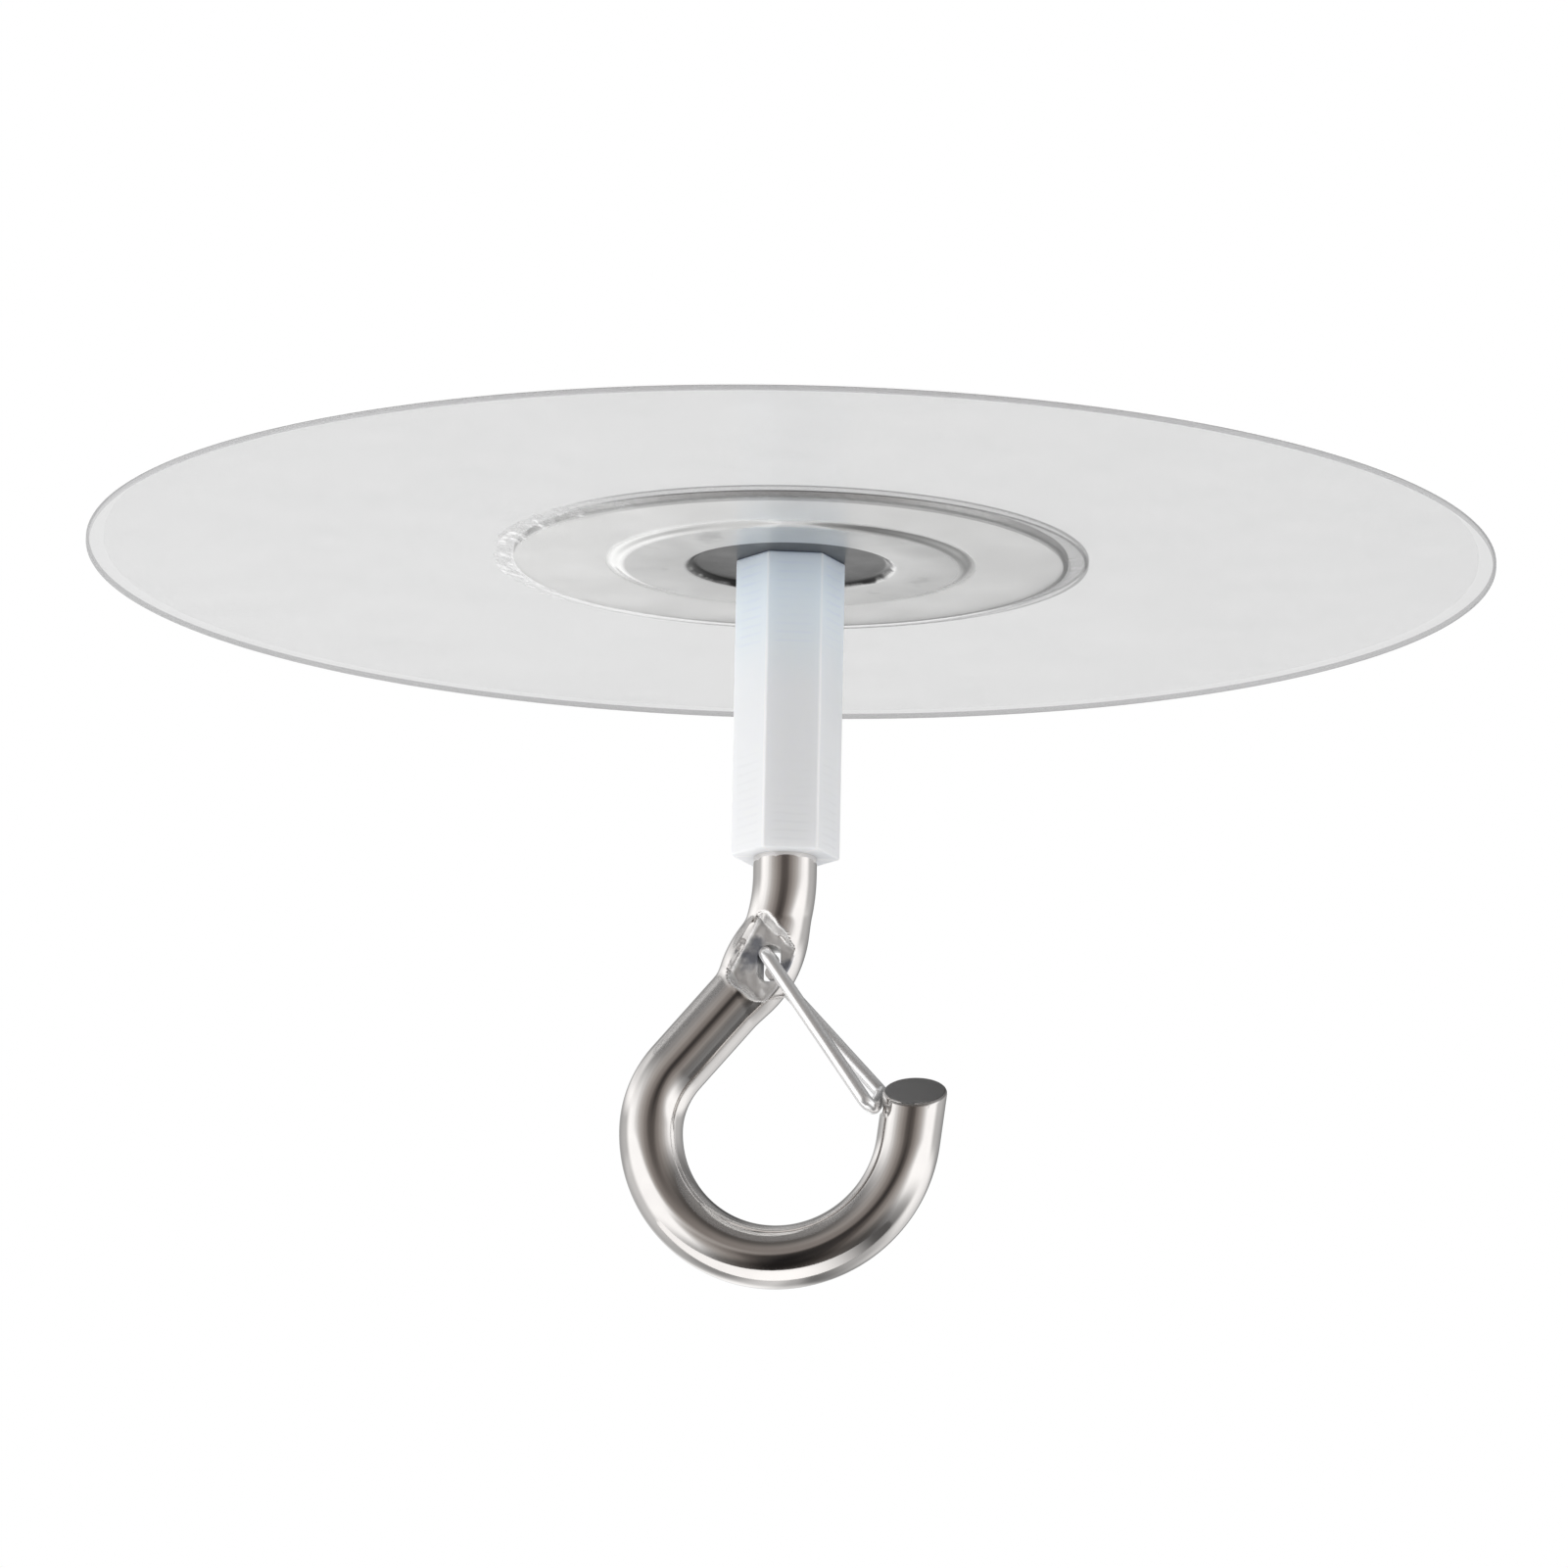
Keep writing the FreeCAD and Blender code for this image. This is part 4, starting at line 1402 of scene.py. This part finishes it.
    def mark_surfaces(self, hook: bpy.types.Object) -> None:
        """Draw masks on the points that the press and the saw left rough.

        Args:
            hook: The finished hook.
        """
        count = len(hook.data.vertices)
        pressed = [0.0] * count
        cut = [0.0] * count
        shoulder, plain, worst = (mark.value for mark in PressMark)
        for number, vertex in enumerate(hook.data.vertices):
            away = vertex.co - self.flat_centre
            along = away.dot(self.flat_along)
            side = away.dot(self.flat_side)
            inside = -self.lip_start < side < 1.4 * self.bar and abs(along) < self.neck_reach
            limit = self.press_limit(along, side, vertex.co) if inside else math.inf
            if abs(vertex.co.y) > limit - 0.75 * self.press_blend:
                bruise = max(
                    1.0 - math.hypot(along / reach, (side - middle) / half)
                    for middle, half, reach in self.bruises
                )
                flat = plain + (worst - plain) * min(max(self.bruise_edge * bruise, 0.0), 1.0)
                pressed[number] = shoulder if self.beyond_flat(along, side, vertex.co) else flat
            cut[number] = 1.0 if self.below_tip_end(vertex.co) < 0.3 * self.tip_rounding else 0.0
        for name, values in (("pressed", pressed), ("cut_end", cut)):
            hook.data.attributes.new(name, "FLOAT", "POINT").data.foreach_set("value", values)

    def build(self, effects: Effects) -> None:
        """Model the hook and dress it.

        Args:
            effects: The shared effects.
        """
        hook = self.bend_bar()
        self.slant_tip(hook)
        self.press_neck(hook)
        cut_away(hook, self.slot_cutter())
        cut_away(hook, self.notch_cutter())
        tidy_mesh(hook)
        rod = Thread().build("hook_rod", self.shoulder, self.shoulder + self.thread_length)
        join_pieces(hook, [rod])
        self.mark_surfaces(hook)
        dress(hook, HookFinish().build(effects))
        hand_over(hook, Body.HANGER, "hook")


@dataclass
class WireGate:
    """One spring wire whose two ends sit above and below each other in the hook's slot."""

    hook: SteelHook
    wire: float = 0.4 * MM
    bend: float = 0.6 * MM
    side_gap: float = 0.2 * MM
    end_short: float = 0.15 * MM
    end_offset: float = 0.55 * MM
    seat_gap: float = 0.1 * MM
    half_swing: float = math.radians(18.0)
    end_rounding: float = 0.08 * MM
    sides: int = 40
    bend_steps: int = 16
    run_steps: int = 4
    end_steps: int = 3
    smooth_angle: float = 50.0

    def route(self) -> list[Vector]:
        """Give the corners of the wire's route.

        Returns:
            The corners, from one end to the other.
        """
        hook = self.hook
        pivot = hook.pivot
        to_notch = hook.notch - pivot
        seat = hook.notch_round - self.wire - self.seat_gap
        inward = Vector((-to_notch.z, 0.0, to_notch.x)).normalized()
        end = hook.notch + inward * seat
        upward = Vector((-math.sin(self.half_swing), 0.0, math.cos(self.half_swing))) * self.end_offset
        leg = ACROSS_HOOK * (hook.flat_half_thickness + self.side_gap + self.wire)
        tilt = UP * (leg.y * math.tan(hook.tip_slant))
        depth = ACROSS_HOOK * (hook.flat_half_thickness - self.end_short)
        return [
            pivot + upward + depth,
            pivot + upward - leg,
            end - leg - tilt,
            end + leg + tilt,
            pivot - upward + leg,
            pivot - upward - depth,
        ]

    def build(self, effects: Effects) -> None:
        """Model the gate and dress it.

        Args:
            effects: The shared effects.
        """
        corners = self.route()
        start, finish = corners[0], corners[-1]
        wire = BentBar("wire_gate", self.wire, self.sides, start, (corners[1] - start).normalized())
        for before, corner, after in zip(corners, corners[1:], corners[2:]):
            back = (before - corner).normalized()
            ahead = (after - corner).normalized()
            half = back.angle(ahead) / 2.0
            wire.run(corner + back * (self.bend / math.tan(half)), self.run_steps)
            centre = corner + (back + ahead).normalized() * (self.bend / math.sin(half))
            axis = ahead.cross(back).normalized()
            wire.bend(centre, axis, math.pi - 2.0 * half, self.bend_steps)
        wire.run(finish, self.run_steps)
        gate = wire.close()
        with editing(gate):
            pick_points(gate, lambda spot: abs(spot.y - start.y) < MERGE_DISTANCE)
            bpy.ops.mesh.bevel(offset=self.end_rounding, segments=self.end_steps, affect="EDGES")
        tidy_mesh(gate, self.smooth_angle)
        steel = SteelFinish("spring_wire", (0.97, 0.97, 0.97), (0.92, 0.92, 0.925), 0.12, 0.17, 0.68)
        dress(gate, steel.build(effects))
        hand_over(gate, Body.GATE, "gate")


# The studio


@dataclass(frozen=True)
class SoftBox:
    """One large soft lamp that polished steel does not mirror."""

    name: str
    place: tuple[float, float, float]
    size: float
    power: float
    aim_level: float = -20.0 * MM

    def hang(self) -> None:
        """Hang the lamp and point it at the object."""
        data = bpy.data.lights.new(self.name, "AREA")
        data.shape = "DISK"
        data.size = self.size
        data.energy = self.power
        lamp = bpy.data.objects.new(self.name, data)
        lamp.visible_glossy = False
        lamp.visible_camera = False
        bpy.context.scene.collection.objects.link(lamp)
        place = Vector(self.place)
        aim = (UP * self.aim_level - place).to_track_quat("-Z", "Y").to_matrix().to_4x4()
        lamp.matrix_world = Matrix.Translation(place) @ aim


@dataclass
class Studio:
    """A white tent whose dark opening is towards the camera, over a floor that glows and fades to dark
    towards the right, a painted pool of light, and the camera itself.
    """

    azimuth: float = math.radians(10.5)
    distance: float = 1000.0 * MM
    camera_level: float = -240.0 * MM
    target: tuple[float, float, float] = (-0.15 * MM, 0.0, -13.6 * MM)
    roll: float = math.radians(1.1)
    lens: float = 416.0
    floor_centre: tuple[float, float, float] = (-0.9, -0.2925, -1.8)
    floor_size: tuple[float, float] = (6.2, 1.485)
    floor_corner: float = 0.3
    floor_corner_steps: int = 12
    floor_painted_glow: float = 0.85
    floor_light_fall: Fade = (0.0, 1.6, 1.0, 0.0)
    floor_pale: Colour = (0.86, 0.86, 0.86)
    floor_white: Colour = (0.9, 0.9, 0.9)
    floor_unlit: Colour = (0.25, 0.25, 0.25)
    white: float = 1.0
    crown: Fade = (0.65, 0.85, 1.0, 2.2)
    front_from_rear: Fade = (-0.25, 0.1, 0.0, 1.0)
    opening_level: float = -0.34
    opening_squeeze: float = 0.5
    opening_sway: Fade = (-0.15, 0.2, 0.3, 0.0)
    opening_edge: Fade = (-0.05, 0.2, 1.4, 0.0)
    opening_far: Fade = (0.3, 0.65, 1.0, 0.36)
    opening_high: Fade = (0.5, 0.9, 1.0, 0.6)
    right_corner: tuple[Fade, Fade] = ((-0.4, -0.1, 0.5, 0.0), (-0.5, -0.2, 1.0, 0.0))
    rear_bands: tuple[Fade, ...] = (
        (-0.12, 0.08, 1.0, 0.5),
        (0.28, 0.55, 1.0, 0.5),
        (-0.75, -0.4, 0.65, 1.0),
    )
    rear_low_left: tuple[Fade, Fade] = ((0.2, 0.45, 0.0, 0.4), (-0.1, 0.05, 1.0, 0.0))
    rear_high_left: tuple[Fade, Fade] = ((0.3, 0.6, 0.0, 2.2), (0.25, 0.45, 0.0, 1.0))
    opening: tuple[tuple[float, Colour], ...] = (
        (0.0, (0.015, 0.014, 0.014)),
        (0.2, (0.05, 0.045, 0.043)),
        (0.29, (0.11, 0.097, 0.09)),
        (0.45, (0.26, 0.235, 0.22)),
        (0.62, (0.40, 0.375, 0.355)),
        (0.75, (0.54, 0.52, 0.505)),
        (0.86, (0.8, 0.79, 0.785)),
        (0.95, (1.14, 1.14, 1.14)),
        (1.0, (1.25, 1.25, 1.25)),
    )
    rear: tuple[tuple[float, Colour], ...] = (
        (0.0, (1.2, 1.2, 1.2)),
        (0.25, (0.75, 0.75, 0.75)),
        (0.41, (0.3, 0.3, 0.3)),
        (0.48, (0.74, 0.74, 0.74)),
        (0.55, (1.15, 1.15, 1.15)),
        (0.75, (0.85, 0.85, 0.85)),
        (1.0, (1.2, 1.2, 1.2)),
    )
    lamps: tuple[SoftBox, ...] = (
        SoftBox("left_lamp", (-1.1, -0.5, -0.2), 0.9, 6.4),
        SoftBox("right_lamp", (1.1, -0.5, -0.2), 0.9, 3.3),
        SoftBox("low_lamp", (0.1, -0.7, -1.1), 0.9, 4.1),
    )

    @property
    def camera_place(self) -> Vector:
        """Give the camera's place."""
        flat = Vector((math.sin(self.azimuth), -math.cos(self.azimuth), 0.0))
        return flat * self.distance + UP * self.camera_level

    def place_camera(self) -> None:
        """Set the camera at the photograph's viewing angle."""
        data = bpy.data.cameras.new("view")
        data.lens = self.lens
        data.clip_start = 10.0 * MM
        camera = bpy.data.objects.new("view", data)
        bpy.context.scene.collection.objects.link(camera)
        sight = Vector(self.target) - self.camera_place
        turn = sight.to_track_quat("-Z", "Y").to_matrix().to_4x4()
        level_view = Matrix.Translation(self.camera_place) @ turn
        camera.matrix_world = level_view @ Matrix.Rotation(self.roll, 4, "Z")
        bpy.context.scene.camera = camera

    def lay_floor(self) -> None:
        """Lay a wide floor well below the object, pale and glowing on the left and fading to dark towards
        the right: a painted pool of light.
        """
        clear_selection()
        bpy.ops.mesh.primitive_plane_add(size=1.0, location=self.floor_centre)
        bpy.context.object.scale = (*self.floor_size, 1.0)
        floor = settle_new_piece("studio_floor")
        with editing(floor):
            bpy.ops.mesh.bevel(offset=self.floor_corner, segments=self.floor_corner_steps, affect="VERTICES")
        material, desk, shader = new_finish("pale_floor", Roughness=0.9, Emission_Strength=self.floor_painted_glow)
        grain = desk.add("TexNoise", {"Vector": desk.place(), "Scale": 40.0})
        pale = desk.mix(grain.outputs["Fac"], self.floor_pale, self.floor_white)
        across = desk.add("SeparateXYZ", {0: desk.place()}).outputs["X"]
        # Painted pool of light: the floor's colour and glow fade from the left to dark at the right.
        fall = desk.ramp(across, *self.floor_light_fall)
        feed(
            desk,
            shader,
            Base_Color=desk.mix(fall, self.floor_unlit, pale),
            Emission_Color=desk.mix(fall, (0.0, 0.0, 0.0), (1.0, 1.0, 1.0)),
        )
        dress(floor, material)

    def shade_by(
        self, desk: Desk, value: bpy.types.NodeSocket, stops: Sequence[tuple[float, Colour]]
    ) -> bpy.types.NodeSocket:
        """Turn a number between 0 and 1 into a colour.

        Args:
            desk: The world's desk.
            value: The number's socket.
            stops: Places between 0 and 1 and the colours there.

        Returns:
            The colour's socket.
        """
        node = desk.add("ValToRGB", {"Fac": value})
        node.color_ramp.interpolation = "EASE"
        for _ in stops[2:]:
            node.color_ramp.elements.new(0.5)
        for element, (place, colour) in zip(node.color_ramp.elements, stops):
            element.position = place
            element.color = (*colour, 1.0)
        return node.outputs[0]

    def patch(
        self, desk: Desk, side: bpy.types.NodeSocket, level: bpy.types.NodeSocket, fades: tuple[Fade, Fade]
    ) -> bpy.types.NodeSocket:
        """Mark a patch of the tent by one fade sideways and one upwards."""
        sideways, upwards = fades
        return desk.product(desk.ramp(side, *sideways), desk.ramp(level, *upwards))

    def shade_front(
        self, desk: Desk, side: bpy.types.NodeSocket, level: bpy.types.NodeSocket
    ) -> bpy.types.NodeSocket:
        """Shade the tent's front, where the dark opening is.

        Args:
            desk: The world's desk.
            side: How far to the left a direction points.
            level: How far up it points.

        Returns:
            The colour's socket.
        """
        rise = desk.product(desk.math("SUBTRACT", level, self.opening_level), self.opening_squeeze)
        aside = desk.math("SUBTRACT", side, desk.ramp(level, *self.opening_sway))
        stretch = desk.ramp(level, *self.opening_edge)
        aside = desk.math("MULTIPLY_ADD", desk.math("MAXIMUM", aside, 0.0), stretch, aside)
        squared = desk.math("ADD", desk.product(aside, aside), desk.product(rise, rise))
        opening = self.shade_by(desk, desk.math("SQRT", squared), self.opening)
        strip = desk.product(
            desk.ramp(desk.math("ABSOLUTE", level), *self.opening_far),
            desk.ramp(level, *self.opening_high),
            desk.rest(self.patch(desk, side, level, self.right_corner)),
        )
        return desk.add("VectorMath", {0: opening, "Scale": strip}, operation="SCALE").outputs[0]

    def shade_rear(
        self, desk: Desk, side: bpy.types.NodeSocket, level: bpy.types.NodeSocket
    ) -> bpy.types.NodeSocket:
        """Shade the tent's rear, which is uneven from left to right and from low to high.

        Args:
            desk: The world's desk.
            side: How far to the left a direction points.
            level: How far up it points.

        Returns:
            The colour's socket.
        """
        rear = self.shade_by(desk, desk.math("MULTIPLY_ADD", side, 0.5, 0.5), self.rear)
        brightness = desk.product(
            *(desk.ramp(level, *band) for band in self.rear_bands),
            desk.rest(self.patch(desk, side, level, self.rear_low_left)),
            desk.math("ADD", self.patch(desk, side, level, self.rear_high_left), 1.0),
        )
        return desk.add("VectorMath", {0: rear, "Scale": brightness}, operation="SCALE").outputs[0]

    def light_tent(self) -> None:
        """Light the object from a tent: dark and brownish in front, bright at the sides, uneven behind."""
        world = bpy.data.worlds.new("tent")
        bpy.context.scene.world = world
        world.use_nodes = True
        desk = Desk(world.node_tree)
        way = desk.add("TexCoord").outputs["Generated"]
        front = self.camera_place.copy()
        front.z = 0.0
        front.normalize()
        facing, side = (
            desk.add("VectorMath", {0: way, 1: towards}, operation="DOT_PRODUCT").outputs["Value"]
            for towards in (front, front.cross(UP))
        )
        level = desk.add("SeparateXYZ", {0: way}).outputs["Z"]
        colour = desk.mix(
            desk.ramp(facing, *self.front_from_rear),
            self.shade_rear(desk, side, level),
            self.shade_front(desk, side, level),
        )
        tent = desk.add("Background", {"Color": colour, "Strength": desk.ramp(level, *self.crown)})
        backdrop = desk.add("Background", {"Color": (1.0, 1.0, 1.0, 1.0), "Strength": self.white})
        seen = desk.add("LightPath").outputs["Is Camera Ray"]
        mixed = desk.add("MixShader", {0: seen, 1: tent.outputs[0], 2: backdrop.outputs[0]})
        desk.add("OutputWorld", {"Surface": mixed.outputs[0]})

    def build(self) -> None:
        """Set up the camera, the floor, the lamps, the tent and the plain colour response."""
        self.place_camera()
        self.lay_floor()
        self.light_tent()
        for lamp in self.lamps:
            lamp.hang()
        bpy.context.scene.view_settings.view_transform = "Standard"


def write_sizes() -> None:
    """Update the view layer."""
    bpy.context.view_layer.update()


def main() -> None:
    """Build every piece in order, then the studio."""
    logging.basicConfig(level=logging.INFO, format="%(message)s")
    effects = Effects()
    hook = SteelHook()
    for piece in (StickOnDisc(), PressedPlate(), ThreadedStud(), HexSleeve(), hook, WireGate(hook)):
        piece.build(effects)
    Studio().build()
    write_sizes()


if __name__ == "__main__":
    main()
